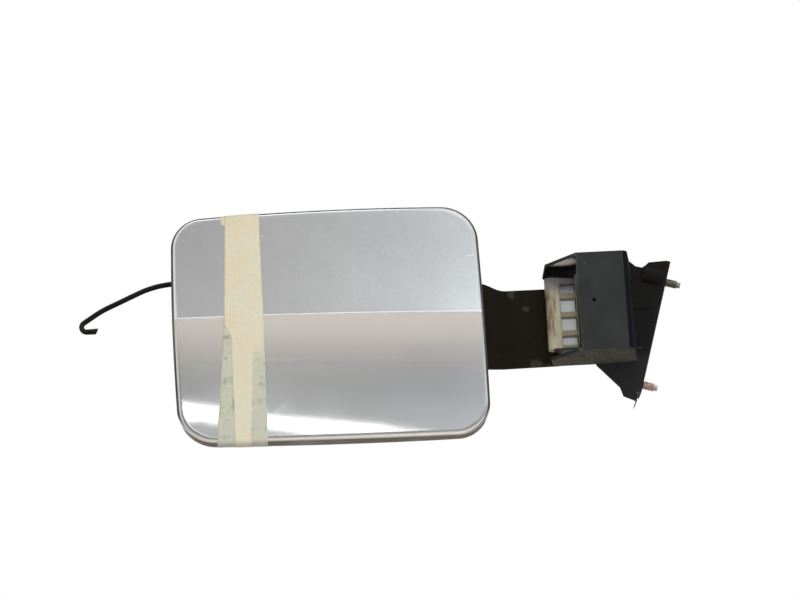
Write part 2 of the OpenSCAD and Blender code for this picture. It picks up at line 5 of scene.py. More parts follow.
import bmesh
import bpy
from mathutils import Matrix, Vector, noise


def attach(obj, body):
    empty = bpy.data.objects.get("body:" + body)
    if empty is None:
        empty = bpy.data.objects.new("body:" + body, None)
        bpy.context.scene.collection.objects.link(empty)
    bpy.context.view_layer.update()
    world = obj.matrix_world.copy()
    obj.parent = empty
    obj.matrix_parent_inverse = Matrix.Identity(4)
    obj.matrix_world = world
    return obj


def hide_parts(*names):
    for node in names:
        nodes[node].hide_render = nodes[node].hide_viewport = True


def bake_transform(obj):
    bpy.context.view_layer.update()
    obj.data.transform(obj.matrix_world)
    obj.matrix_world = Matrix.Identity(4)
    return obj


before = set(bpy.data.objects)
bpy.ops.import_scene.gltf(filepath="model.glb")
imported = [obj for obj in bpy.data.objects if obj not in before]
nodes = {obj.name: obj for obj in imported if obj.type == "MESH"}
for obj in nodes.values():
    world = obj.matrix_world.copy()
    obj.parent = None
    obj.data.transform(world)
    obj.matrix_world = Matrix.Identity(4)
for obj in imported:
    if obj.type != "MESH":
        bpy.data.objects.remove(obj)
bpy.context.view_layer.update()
scene = bpy.context.scene
scene.view_settings.view_transform = "Standard"
mm = 0.001
pinAt = Vector((-40.5, -23.0, 9.9))  # the middle of the hinge pin
flapAt = Vector((-191.5, -55.0, 1.0))  # the middle of the flap, on its rim's plane
print("frame loaded:", len(nodes), "nodes")


# Helpers for meshes

def newPiece(name, bm, body, material, standsFor=()):
    mesh = bpy.data.meshes.new(name)
    bm.to_mesh(mesh)
    bm.free()
    piece = bpy.data.objects.new(name, mesh)
    scene.collection.objects.link(piece)
    mesh.materials.append(material)
    if body:
        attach(piece, body)
    if standsFor:
        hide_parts(*standsFor)
    return piece


def smoothByAngle(bm, degrees):
    limit = math.radians(degrees)
    for face in bm.faces:
        face.smooth = True
    for edge in bm.edges:
        edge.smooth = len(edge.link_faces) != 2 or edge.calc_face_angle() < limit


def eased(t):
    # 0 below 0, 1 above 1, and a soft rise between them
    t = min(1.0, max(0.0, t))
    return t * t * (3 - 2 * t)


def toRow(bm, origin):
    # from millimetres about a piece's own middle to metres in the shared frame
    bmesh.ops.scale(bm, verts=bm.verts, vec=(mm, mm, mm))
    bmesh.ops.translate(bm, verts=bm.verts, vec=origin * mm)


def frontFirst(bm):
    # the face nearest to the front has to look towards -Y
    front = min(bm.faces, key=lambda face: face.calc_center_median().y)
    if front.normal.y > 0:
        bmesh.ops.reverse_faces(bm, faces=bm.faces)


def softened(name, material, body, width=0.3, steps=2, sharp=28, settle=None):
    # a copy of a plain solid with its sharp edges rounded; settle moves its points first
    bm = bmesh.new()
    bm.from_mesh(nodes[name].data)
    bmesh.ops.remove_doubles(bm, verts=bm.verts, dist=2e-6)
    for vert in bm.verts if settle else ():
        settle(vert)
    bmesh.ops.dissolve_limit(bm, angle_limit=math.radians(0.6), verts=bm.verts, edges=bm.edges)
    edges = [e for e in bm.edges if len(e.link_faces) == 2 and e.calc_face_angle() > math.radians(sharp)]
    bmesh.ops.bevel(bm, geom=edges, offset=width * mm, offset_type="OFFSET", segments=steps, profile=0.5,
                    affect="EDGES", clamp_overlap=True, material=-1)
    smoothByAngle(bm, 32)
    piece = newPiece(name + "Finished", bm, body, material, [name])
    # large flat faces keep their own normals, so that only the rounded edges shade
    piece.modifiers.new("flatFaces", "WEIGHTED_NORMAL").keep_sharp = True
    return piece


def sweep(points, radius, sides=14):
    # a round wire along a path, with both ends closed
    path = [Vector(p) for p in points]
    bm = bmesh.new()
    ring = bmesh.ops.create_circle(bm, cap_ends=True, radius=radius, segments=sides)["verts"]
    end = len(path) - 1
    tangents = [(path[min(i + 1, end)] - path[max(i - 1, 0)]).normalized() for i in range(end + 1)]
    turn = Vector((0, 0, 1)).rotation_difference(tangents[0]).to_matrix().to_4x4()
    place = Matrix.Translation(path[0]) @ turn
    bmesh.ops.transform(bm, matrix=place, verts=ring)
    edges = bm.edges[:]
    for i in range(1, len(path)):
        turn = tangents[i - 1].rotation_difference(tangents[i]).to_matrix().to_4x4() @ turn
        after = Matrix.Translation(path[i]) @ turn
        made = bmesh.ops.extrude_edge_only(bm, edges=edges)["geom"]
        ring = [g for g in made if isinstance(g, bmesh.types.BMVert)]
        edges = [g for g in made if isinstance(g, bmesh.types.BMEdge)]
        bmesh.ops.transform(bm, matrix=after @ place.inverted(), verts=ring)
        place = after
    bmesh.ops.contextual_create(bm, geom=edges)
    bmesh.ops.recalc_face_normals(bm, faces=bm.faces)
    return bm


# Helpers for materials

def tint(red, green, blue):
    # a screen colour, 0 to 255, as the linear values that sockets take
    parts = [c / 255 for c in (red, green, blue)]
    return tuple(c / 12.92 if c <= 0.04045 else ((c + 0.055) / 1.055) ** 2.4 for c in parts) + (1.0,)


def feed(tree, socket, value):
    # a socket takes a link from another socket, or else a plain value
    if isinstance(value, bpy.types.NodeSocket):
        tree.links.new(value, socket)
    else:
        socket.default_value = value


def put(tree, kind, inputs=None, **settings):
    made = tree.nodes.new(kind)
    for key, value in settings.items():
        setattr(made, key, value)
    for key, value in (inputs or {}).items():
        feed(tree, made.inputs[key], value)
    return made


def sums(tree, operation, a, b=0.0, clamp=False):
    return put(tree, "ShaderNodeMath", {0: a, 1: b}, operation=operation, use_clamp=clamp).outputs[0]


def ramp(tree, value, low, high, toLow=0.0, toHigh=1.0):
    return put(tree, "ShaderNodeMapRange", {0: value, 1: low, 2: high, 3: toLow, 4: toHigh},
               interpolation_type="SMOOTHSTEP").outputs[0]


def mixed(tree, factor, a, b):
    return put(tree, "ShaderNodeMix", {0: factor, 6: a, 7: b}, data_type="RGBA").outputs[2]


def cloudy(tree, coords, scale, detail=4.0, rough=0.55):
    return put(tree, "ShaderNodeTexNoise", {"Vector": coords, "Scale": scale, "Detail": detail,
                                            "Roughness": rough}).outputs[0]


def newGroup(name, inputs, outputs):
    tree = bpy.data.node_groups.new(name, "ShaderNodeTree")
    for side, sockets in (("INPUT", inputs), ("OUTPUT", outputs)):
        for label, kind, value in sockets:
            made = tree.interface.new_socket(name=label, in_out=side, socket_type=kind)
            if value is not None:
                made.default_value = value
    return tree, tree.nodes.new("NodeGroupInput"), tree.nodes.new("NodeGroupOutput")


def useGroup(tree, group, inputs):
    return put(tree, "ShaderNodeGroup", inputs, node_tree=group).outputs[0]


number, arrow = "NodeSocketFloat", "NodeSocketVector"

# worn edges: where the rounded normal leaves the face's own normal
edgeWear, into, out = newGroup("edgeWear", [("Coords", arrow, None), ("Radius", number, 0.0006),
                                            ("Grain", number, 900.0), ("Amount", number, 1.0)],
                               [("Mask", number, None)])
rounded = put(edgeWear, "ShaderNodeBevel", {"Radius": into.outputs["Radius"]}, samples=6)
faceNormal = put(edgeWear, "ShaderNodeNewGeometry").outputs["Normal"]
along = put(edgeWear, "ShaderNodeVectorMath", {0: rounded.outputs[0], 1: faceNormal},
            operation="DOT_PRODUCT")
worn = ramp(edgeWear, along.outputs["Value"], 0.985, 0.86)
broken = ramp(edgeWear, cloudy(edgeWear, into.outputs["Coords"], into.outputs["Grain"]), 0.38, 0.62)
worn = sums(edgeWear, "MULTIPLY", worn, broken)
worn = sums(edgeWear, "MULTIPLY", worn, into.outputs["Amount"], True)
edgeWear.links.new(worn, out.inputs["Mask"])

# soft patches, such as haze, dirt and uneven ageing
patches, into, out = newGroup("patches", [("Coords", arrow, None), ("Scale", number, 40.0),
                                          ("Low", number, 0.4), ("High", number, 0.65)],
                              [("Mask", number, None)])
cloud = cloudy(patches, into.outputs["Coords"], into.outputs["Scale"], 5.0, 0.6)
patches.links.new(ramp(patches, cloud, into.outputs["Low"], into.outputs["High"]), out.inputs["Mask"])

# one mark at a place: a speck, scuff or scratch, as a stretched and turned spot
mark, into, out = newGroup("mark", [("Coords", arrow, None), ("Place", arrow, None), ("Turn", arrow, None),
                                    ("Size", arrow, (1.0, 1.0, 1.0)), ("Ragged", number, 0.3)],
                           [("Mask", number, None)])
moved = put(mark, "ShaderNodeMapping", {"Vector": into.outputs["Coords"], "Location": into.outputs["Place"],
                                        "Rotation": into.outputs["Turn"], "Scale": into.outputs["Size"]},
            vector_type="TEXTURE")
reach = put(mark, "ShaderNodeVectorMath", {0: moved.outputs[0]}, operation="LENGTH").outputs["Value"]
frayed = sums(mark, "SUBTRACT", cloudy(mark, into.outputs["Coords"], 1400.0, 2.0), 0.5)
frayed = sums(mark, "MULTIPLY", frayed, into.outputs["Ragged"])
reach = sums(mark, "ADD", reach, sums(mark, "MULTIPLY", frayed, 3.0))
mark.links.new(ramp(mark, reach, 1.0, 0.6), out.inputs["Mask"])


class Finish:
    # one material: its tree, its shader and the coordinates that its patterns read
    def __init__(self, name, **sockets):
        self.material = bpy.data.materials.new(name)
        self.material.use_nodes = True
        self.tree = self.material.node_tree
        self.tree.nodes.clear()
        self.shader = put(self.tree, "ShaderNodeBsdfPrincipled")
        self.set(**sockets)
        put(self.tree, "ShaderNodeOutputMaterial", {"Surface": self.shader.outputs[0]})
        place = put(self.tree, "ShaderNodeTexCoord").outputs
        self.coords = place["Object"]
        split = put(self.tree, "ShaderNodeSeparateXYZ", {0: self.coords})
        self.x, self.y, self.z = split.outputs
        # the normal is read in the piece's own frame, so that a turned piece keeps its looks
        split = put(self.tree, "ShaderNodeSeparateXYZ", {0: place["Normal"]})
        self.normalX, self.normalY, self.normalZ = split.outputs

    def cloud(self, scale, detail=4.0):
        return cloudy(self.tree, self.coords, scale, detail)

    def patch(self, scale, low, high):
        return useGroup(self.tree, patches, {"Coords": self.coords, "Scale": scale,
                                             "Low": low, "High": high})

    def wear(self, radius, grain, amount):
        return useGroup(self.tree, edgeWear, {"Coords": self.coords, "Radius": radius * mm, "Grain": grain,
                                              "Amount": amount})

    def spot(self, place, size, turn=0.0, ragged=0.3):
        return useGroup(self.tree, mark, {"Coords": self.coords, "Place": Vector(place) * mm,
                                          "Size": Vector(size) * mm, "Turn": (0.0, math.radians(turn), 0.0),
                                          "Ragged": ragged})

    def mul(self, a, b):
        return sums(self.tree, "MULTIPLY", a, b, True)

    def most(self, *masks):
        found = masks[0]
        for m in masks[1:]:
            found = sums(self.tree, "MAXIMUM", found, m)
        return found

    def ramp(self, value, low, high, toLow=0.0, toHigh=1.0):
        return ramp(self.tree, value, low, high, toLow, toHigh)

    def mix(self, factor, a, b):
        return mixed(self.tree, factor, a, b)

    def level(self, factor, a, b):
        return put(self.tree, "ShaderNodeMix", {0: factor, 2: a, 3: b}).outputs[0]

    def set(self, **values):
        for key, value in values.items():
            feed(self.tree, self.shader.inputs[key.replace("_", " ")], value)

    def bump(self, height, distance, strength=1.0, under=None):
        inputs = {"Height": height, "Distance": distance * mm, "Strength": strength}
        if under is not None:
            inputs["Normal"] = under
        made = put(self.tree, "ShaderNodeBump", inputs).outputs[0]
        self.set(Normal=made)
        return made


# Finishes

paint = {
    "light": tint(185, 186, 185), "dark": tint(172, 173, 171), "roughness": 0.2, "flakeSize": 1900.0,
    # the crest, brink and lip colours are painted highlights; the rim colour is painted shade
    "paleFlake": (0.56, 0.57, 0.58, 1), "deepFlake": (0.2, 0.2, 0.2, 1), "crestHighlight": tint(240, 243, 244),
    "rimHighlight": tint(236, 238, 238), "lipHighlight": tint(226, 217, 208), "rim": tint(60, 60, 60),
    "freshFilm": tint(206, 192, 180), "grime": tint(116, 106, 94),
    # marks of one kind: x and z from the flap's centre, width, height and turn of each
    "marks": [
        {"tint": tint(84, 80, 76), "share": 0.5, "ahead": 4, "ragged": 0.3,
         "at": [(60.5, -40.0, 0.55, 0.55, 0.0), (51.0, -47.7, 0.4, 0.4, 0.0), (70.2, -48.7, 0.35, 0.35, 0.0),
                (12.0, -22.0, 0.3, 0.3, 0.0)]},
        {"tint": tint(214, 216, 216), "share": 0.6, "ahead": 4, "ragged": 0.9,
         "at": [(-35.9, 52.8, 0.9, 0.9, 0.0), (-36.4, 50.6, 0.6, 0.6, 0.0)]},
        {"tint": tint(225, 228, 230), "share": 0.6, "ahead": 3, "ragged": 0.15,
         "at": [(83.0, 36.2, 3.2, 0.25, 2.0)]},
        # the last kind is a painted glint, a faint bluish streak of light
        {"tint": tint(222, 236, 244), "share": 0.25, "ahead": 3, "ragged": 0.2,
         "at": [(-28.2, -47.8, 9.5, 1.6, -47.0)]},
    ],
}


def crestHighlightMask(f):
    # painted highlight along the crest of the crease, where the face looks to the front
    t = f.tree
    tilt = math.radians(door["creaseTilt"])
    height = sums(t, "ADD", sums(t, "MULTIPLY", sums(t, "SUBTRACT", f.x, flapAt.x * mm), math.sin(tilt)),
                  sums(t, "MULTIPLY", sums(t, "SUBTRACT", f.z, flapAt.z * mm), math.cos(tilt)))
    off = sums(t, "ABSOLUTE", sums(t, "SUBTRACT", height, (door["creaseZ"] + 0.1) * mm))
    crestHighlight = f.mul(f.ramp(off, 0.5 * mm, 0.1 * mm), f.ramp(f.normalY, -0.7, -0.9))
    return f.mul(crestHighlight, f.ramp(f.cloud(35.0, 3.0), 0.2, 0.6, 0.6, 1.0))


def silverPaint():
    f = Finish("silverPaint", Metallic=0.9, IOR=1.5, Coat_Weight=1.0, Coat_Roughness=0.03, Coat_IOR=2.0)
    base = f.mix(f.patch(13.0, 0.3, 0.75), paint["dark"], paint["light"])
    flake = put(f.tree, "ShaderNodeTexVoronoi", {"Vector": f.coords, "Scale": paint["flakeSize"]})
    flake = put(f.tree, "ShaderNodeSeparateColor", {0: flake.outputs["Color"]}).outputs[0]
    base = f.mix(f.ramp(flake, 0.0, 1.0, 0.0, 0.2), base, paint["paleFlake"])
    base = f.mix(f.ramp(f.cloud(900.0, 2.0), 0.35, 0.75, 0.0, 0.10), base, paint["deepFlake"])
    # a painted highlight: light paint along the crease's crest
    crestHighlight = crestHighlightMask(f)
    base = f.mix(crestHighlight, base, paint["crestHighlight"])
    for kind in paint["marks"]:
        ahead = flapAt.y - kind["ahead"]
        spots = [f.spot((flapAt.x + x, ahead, flapAt.z + z), (w, 6, h), turn, kind["ragged"])
                 for x, z, w, h, turn in kind["at"]]
        base = f.mix(f.mul(f.most(*spots), kind["share"]), base, kind["tint"])
    # the rim is told by its normal: a painted highlight on the brink beside the face, then walls painted dark
    # as painted shade
    rimHighlight = f.mul(f.ramp(f.normalY, -0.995, -0.989), f.ramp(f.normalY, -0.92, -0.95))
    rimHighlight = f.mul(rimHighlight, f.ramp(f.normalX, 0.12, 0.03, 0.25, 1.0))
    base = f.mix(f.mul(rimHighlight, 0.8), base, paint["rimHighlight"])
    # painted highlight: the lower rim's rounding is painted light above the road film
    lipHighlight = f.mul(f.ramp(f.normalZ, -0.025, -0.07), f.ramp(f.normalZ, -0.62, -0.45))
    lipHighlight = f.mul(lipHighlight, f.ramp(f.normalX, 0.25, 0.1))
    base = f.mix(lipHighlight, base, paint["lipHighlight"])
    # painted shade: the rim's outer walls are painted dark
    rimWallShade = f.mul(f.ramp(f.normalY, -0.955, -0.9), f.ramp(f.cloud(60.0), 0.2, 0.6, 0.85, 1.0))
    rimWallShade = f.mul(rimWallShade, f.ramp(f.normalZ, -0.36, -0.16))
    base = f.mix(rimWallShade, base, paint["rim"])
    # road film on the walls that look down, and under the hem
    under = f.mul(f.ramp(f.normalZ, -0.45, -0.62), f.ramp(f.cloud(60.0), 0.2, 0.6, 0.75, 0.98))
    film = f.most(under, f.mul(f.ramp(f.normalY, 0.3, 0.8), 0.5))
    grime = f.mix(f.ramp(f.normalY, -0.85, -0.55), paint["freshFilm"], paint["grime"])
    base = f.mix(film, base, grime)
    film = f.most(film, rimWallShade)
    rough = f.level(f.patch(22.0, 0.35, 0.7), paint["roughness"] - 0.02, paint["roughness"] + 0.03)
    f.set(Base_Color=base, Roughness=f.level(film, rough, 0.6), Coat_Weight=f.level(film, 1.0, 0.0),
          Metallic=f.level(f.most(film, crestHighlight, rimHighlight, lipHighlight), 0.9, 0.15))
    f.bump(f.cloud(620.0, 2.0), 0.02, 0.05)
    return f.material


def innerPaint():
    f = Finish("innerPaint", IOR=1.5)
    base = f.mix(f.patch(24.0, 0.35, 0.65), tint(150, 151, 150), tint(171, 173, 173))
    dirt = f.patch(60.0, 0.52, 0.72)
    base = f.mix(f.mul(dirt, 0.6), base, tint(92, 82, 70))
    f.set(Base_Color=base, Metallic=f.level(dirt, 0.55, 0.1), Roughness=f.level(dirt, 0.45, 0.75))
    f.bump(f.cloud(500.0, 3.0), 0.03, 0.2)
    return f.material


bracketLook = {
    "dark": tint(48, 49, 49), "light": tint(56, 57, 56), "plate": tint(27, 27, 26),
    # the roof colour is painted shade for the upper wall's inside
    "plateFoot": tint(40, 40, 40), "rust": tint(30, 21, 19), "fold": tint(22, 22, 27), "roof": tint(0, 0, 1),
    "dust": tint(94, 89, 77), "scuff": tint(140, 131, 116), "pale": tint(255, 248, 236),
    "bare": tint(112, 106, 98), "scratch": tint(110, 112, 112), "hole": tint(22, 18, 16),
}


def bracketBlack():
    f = Finish("bracketBlack", IOR=1.5, Specular_IOR_Level=0.05)
    look = bracketLook
    base = f.mix(f.patch(45.0, 0.3, 0.7), look["dark"], look["light"])
    behindPlate = f.most(f.ramp(f.y, -14 * mm, -11.5 * mm), f.ramp(f.x, -13.2 * mm, -12 * mm))
    plate = f.mix(f.ramp(f.z, -10 * mm, -20 * mm), look["plate"], look["plateFoot"])
    base = f.mix(behindPlate, base, plate)
    rusty = f.mul(f.mul(behindPlate, f.ramp(f.z, 18 * mm, 38 * mm)), f.patch(70.0, 0.35, 0.6))
    base = f.mix(f.mul(rusty, 0.7), base, look["rust"])
    # the housing's far fold lies in shade
    fold = f.most(f.ramp(f.normalX, 0.2, 0.4), f.ramp(f.x, -20.4 * mm, -19.6 * mm))
    fold = f.mul(f.mul(fold, f.ramp(f.y, -14 * mm, -18 * mm)), f.ramp(f.normalZ, -0.8, -0.4))
    base = f.mix(fold, base, look["fold"])
    # dust lies on the walls that look down; the upper wall's inside carries a pale patch
    down = f.ramp(f.normalZ, -0.5, -0.85)
    # painted shade: the upper wall's inside, looking down, is painted nearly black
    base = f.mix(f.mul(down, f.ramp(f.z, 33 * mm, 35.5 * mm)), base, look["roof"])
    dust = f.mul(down, f.ramp(f.cloud(130.0, 5.0), 0.25, 0.7, 0.45, 1.0))
    low = f.mul(dust, f.ramp(f.z, 5 * mm, -5 * mm))
    base = f.mix(low, base, look["dust"])
    scuffs = f.mul(low, f.ramp(f.cloud(260.0, 6.0), 0.55, 0.75, 0.0, 0.45))
    base = f.mix(scuffs, base, look["scuff"])
    pale = f.mul(f.mul(down, f.ramp(f.z, 30 * mm, 34 * mm)),
                 f.spot((-54.2, -33.5, 36.5), (10.5, 9.0, 7.0), 0.0, 0.6))
    base = f.mix(pale, base, look["pale"])
    # bare metal shows at worn edges, most of all at the free edge of the housing's face
    worn = f.wear(0.45, 700.0, 0.75)
    edge = f.mul(f.ramp(f.x, -46.8 * mm, -47.1 * mm), f.ramp(f.y, -42 * mm, -43 * mm))
    edge = f.mul(edge, f.ramp(f.cloud(240.0, 4.0), 0.35, 0.6, 0.25, 1.0))
    base = f.mix(f.most(f.mul(worn, 0.25), f.mul(edge, 0.6)), base, look["bare"])
    scratch = f.spot((-42.1, -45.0, 32.4), (1.4, 3.0, 0.22), 14.0, 0.2)
    base = f.mix(f.mul(scratch, 0.7), base, look["scratch"])
    spots = f.most(f.spot((-53.9, -30.0, -18.7), (0.8, 0.8, 3.0)),
                   f.spot((-45.7, -30.5, -18.9), (1.6, 1.6, 3.0)))
    base = f.mix(spots, base, look["hole"])
    f.set(Base_Color=base, Roughness=f.level(f.most(dust, worn, fold), 0.55, 0.85))
    f.bump(f.cloud(900.0, 3.0), 0.03, 0.35)
    return f.material


armLook = {
    "dark": tint(29, 24, 19), "light": tint(34, 29, 23), "rust": tint(50, 31, 23), "scuff": tint(84, 79, 73),
    "bare": tint(96, 84, 72),
    # places of the scuffs as x and z, then width, height, turn and fraying
    "scuffs": [(-82.9, 29.0, 2.4, 4.6, 0.0, 0.5), (-74.7, 18.7, 2.6, 2.0, 20.0, 0.5),
               (-70.8, -15.6, 4.4, 4.2, 0.0, 0.45), (-63.4, -17.0, 2.2, 2.0, 0.0, 0.5)],
}


def armBlack():
    f = Finish("armBlack", IOR=1.5, Specular_IOR_Level=0.05)
    look = armLook
    base = f.mix(f.patch(38.0, 0.35, 0.65), look["dark"], look["light"])
    rust = f.mul(f.ramp(f.x, -93 * mm, -109 * mm), f.patch(160.0, 0.4, 0.62))
    base = f.mix(f.mul(rust, 0.8), base, look["rust"])
    scuffs = f.most(*[f.spot((x, 0.0, z), (w, 9.0, h), turn, ragged)
                      for x, z, w, h, turn, ragged in look["scuffs"]])
    base = f.mix(f.mul(scuffs, 0.45), base, look["scuff"])
    worn = f.wear(0.35, 800.0, 0.6)
    base = f.mix(f.mul(worn, 0.3), base, look["bare"])
    f.set(Base_Color=base, Roughness=f.level(f.most(scuffs, rust), 0.55, 0.8))
    f.bump(f.cloud(800.0, 3.0), 0.03, 0.3)
    return f.material


nylonLook = {
    "dark": tint(184, 176, 148), "light": tint(200, 192, 164), "ribs": tint(148, 140, 114),
    # the floor colour is painted light for the shaded pocket floors
    "floor": tint(240, 246, 246), "shade": tint(28, 25, 22), "rust": tint(112, 78, 58),
    # the top colour is painted shadow under the upper wall
    "top": tint(100, 97, 102), "grime": tint(120, 108, 84),
    # how far from the pin, towards the flap, the nose and ribs begin, and the shaded foot and barrel end
    "nose": (16.5, 19.5), "ribsFrom": (15.9, 15.3), "footFrom": (20.7, 19.9), "barrelFrom": (6.15, 5.95),
}


def agedNylon():
    f = Finish("agedNylon", IOR=1.53, Subsurface_Weight=0.12, Subsurface_Scale=0.004)
    look = nylonLook
    f.shader.inputs["Subsurface Radius"].default_value = (1.0, 0.7, 0.45)

    def beyond(key):
        low, high = look[key]
        return f.ramp(f.x, (pinAt.x - low) * mm, (pinAt.x - high) * mm)

    base = f.mix(f.patch(120.0, 0.35, 0.7), look["dark"], look["light"])
    ribs = f.mul(beyond("ribsFrom"), f.ramp(f.cloud(220.0), 0.2, 0.6, 0.75, 1.0))
    base = f.mix(ribs, base, look["ribs"])
    # painted light: the deep pocket floors, which lie in shade, are painted near white and cool
    floor = f.mul(f.ramp(f.y, (pinAt.y + 9.5) * mm, (pinAt.y + 11.5) * mm), f.ramp(f.normalY, -0.5, -0.9))
    base = f.mix(floor, base, look["floor"])
    # the barrel and the foot lie in the housing's shade
    foot = f.mul(f.ramp(f.z, -9.8 * mm, -10.8 * mm), beyond("footFrom"))
    base = f.mix(f.most(foot, beyond("barrelFrom")), base, look["shade"])
    # brown streaks run down the nose, and its top carries painted shadow from the upper wall
    drawn = put(f.tree, "ShaderNodeMapping", {"Vector": f.coords, "Scale": (1.0, 1.0, 0.16)}).outputs[0]
    streaks = f.ramp(cloudy(f.tree, drawn, 420.0, 5.0), 0.38, 0.6)
    middle = f.mul(f.ramp(f.z, 30 * mm, 20 * mm), f.ramp(f.z, -8 * mm, 6 * mm))
    base = f.mix(f.mul(f.mul(streaks, beyond("nose")), middle), base, look["rust"])
    # painted shadow: the top is darker under the upper wall
    top = f.mul(f.ramp(f.z, 18 * mm, 31 * mm), f.ramp(f.cloud(150.0), 0.25, 0.6, 0.55, 0.95))
    base = f.mix(top, base, look["top"])
    base = f.mix(f.wear(0.8, 500.0, 0.5), base, look["grime"])
    f.set(Base_Color=base, Roughness=f.level(f.patch(300.0, 0.4, 0.6), 0.42, 0.56))
    f.bump(f.cloud(600.0, 4.0), 0.05, 0.25)
    return f.material


def platedSteel(name, colour, stain, share, rough=0.35):
    f = Finish(name, IOR=1.5)
    base = f.mix(f.patch(260.0, 0.35, 0.65), colour, tuple(c * 0.72 for c in colour[:3]) + (1,))
    stained = f.patch(420.0, 0.62 - 0.3 * share, 0.72 - 0.2 * share)
    base = f.mix(stained, base, stain)
    f.set(Base_Color=base, Metallic=f.level(stained, 0.92, 0.5), Roughness=f.level(stained, rough, 0.6))
    f.bump(f.cloud(1300.0, 3.0), 0.02, 0.3)
    return f


def lowerStudSteel():
    # coppery shank with a bright tip
    f = platedSteel("lowerStudSteel", tint(232, 208, 194), tint(170, 138, 122), 0.4)
    base = f.shader.inputs["Base Color"].links[0].from_socket
    tip = f.ramp(f.x, -2.2 * mm, -1.2 * mm)
    f.set(Base_Color=f.mix(tip, base, tint(190, 190, 178)))
    return f.material


def rodBlack():
    f = Finish("rodBlack", IOR=1.5, Specular_IOR_Level=0.15)
    base = f.mix(f.patch(90.0, 0.35, 0.65), tint(9, 9, 9), tint(16, 16, 15))
    tail = f.ramp(f.x, -328 * mm, -335 * mm)
    base = f.mix(f.mul(tail, 0.6), base, tint(50, 45, 39))
    f.set(Base_Color=base, Roughness=f.level(f.patch(200.0, 0.4, 0.6), 0.4, 0.58))
    f.bump(f.cloud(1100.0, 3.0), 0.03, 0.3)
    return f.material


def springSteel():
    f = Finish("springSteel", Metallic=0.85, IOR=1.5)
    base = f.mix(f.patch(300.0, 0.4, 0.6), tint(62, 60, 58), tint(96, 90, 84))
    f.set(Base_Color=base, Roughness=f.level(f.patch(500.0, 0.4, 0.6), 0.32, 0.5))
    return f.material


def blackRubber(name, dark, pale):
    f = Finish(name, IOR=1.5, Specular_IOR_Level=0.35)
    base = f.mix(f.patch(150.0, 0.35, 0.7), dark, pale)
    f.set(Base_Color=base, Roughness=f.level(f.patch(260.0, 0.4, 0.6), 0.7, 0.85))
    f.bump(f.cloud(900.0, 4.0), 0.05, 0.3)
    return f.material


tapeLook = {
    "cream": tint(226, 220, 196), "warm": tint(227, 215, 185), "single": tint(202, 201, 182),
    "stain": tint(168, 169, 161), "crease": tint(190, 176, 146), "smudge": tint(105, 108, 110),
    # the fold line's colour is a painted shadow
    "foldShadowLine": tint(164, 152, 124), "crepe": 0.05,
    # dark smudges on the single layer, as x and z from the flap's centre, width and height
    "smudges": [(-58.1, -6.0, 3.0, 1.2), (-59.3, -18.5, 1.0, 1.4), (-60.4, -32.0, 1.2, 2.2),
                (-55.9, -45.0, 0.8, 5.0)],
}


def maskingTape(name, singleFrom):
    # crepe paper: cream where two turns lie over each other, greyer where one lies alone
    f = Finish(name, IOR=1.45, Specular_IOR_Level=0.25, Sheen_Weight=0.15, Sheen_Roughness=0.5)
    look = tapeLook
    stretch = put(f.tree, "ShaderNodeMapping", {"Vector": f.coords, "Scale": (0.22, 1.0, 1.0)}).outputs[0]
    crepe = cloudy(f.tree, stretch, 2300.0, 3.0)
    base = f.mix(f.patch(45.0, 0.35, 0.65), look["cream"], look["warm"])
    alone = singleFrom(f)
    base = f.mix(alone, base, look["single"])
    mottled = f.mul(alone, f.patch(230.0, 0.5, 0.7))
    base = f.mix(f.mul(mottled, 0.7), base, look["stain"])
    base = f.mix(f.ramp(crepe, 0.4, 0.75, 0.0, 0.22), base, look["crease"])
    smudges = f.most(*[f.spot((flapAt.x + x, flapAt.y - 4, flapAt.z + z), (w, 8, h), 0.0, 0.6)
                       for x, z, w, h in look["smudges"]])
    base = f.mix(f.mul(smudges, 0.4), base, look["smudge"])
    # painted shadow along the fold of the torn ear
    foldShadowLine = f.spot((flapAt.x - 50.6, flapAt.y - 4, flapAt.z + 62.2), (8.0, 8.0, 0.28), -24.0, 0.1)
    base = f.mix(f.mul(foldShadowLine, 0.25), base, look["foldShadowLine"])
    f.set(Base_Color=base, Roughness=f.ramp(f.cloud(1500.0, 4.0), 0.3, 0.7, 0.62, 0.8))
    lines = f.bump(crepe, look["crepe"], 0.8)
    f.bump(f.patch(90.0, 0.3, 0.7), 0.15, 0.5, lines)
    return f.material


# The flap's sheet metal

door = {
    "halfW": 89.0, "halfH": 68.0, "depth": 8.5, "crown": 3.5, "ridge": 2.5,
    "creaseZ": 4.4, "creaseTilt": 1.35, "crestRound": 0.32,
    "leftBulge": 1.5, "rightBulge": 0.7, "endBulge": 1.4,
    "corners": {"topLeft": 17.2, "topRight": 20.0, "lowRight": 18.5, "lowLeft": 20.7},
    "rimRound": 2.0, "hemRound": 0.7, "hemWidth": 7.0, "sheet": 0.8,
    "grid": (104, 80), "wallRows": (3.4, 5.4),
    "creaseRows": (-3.0, -1.4, -0.7, -0.35, 0.0, 0.35, 0.7, 1.4, 3.0),
    # how far the real outline is out of true: its shift and lean, and the drops of its edges
    "shift": 0.15, "lean": 0.68, "rightLean": 0.22, "topDrop": 1.0, "drop": 0.95, "dropSlope": 0.0175,
}
tray = {
    "x": -17.0, "w": 88.0, "h": 100.0, "r": 10.0, "depth": 2.6, "slope": 3.4, "back": 7.7, "inset": 1.3,
    "grid": (132, 100),
}


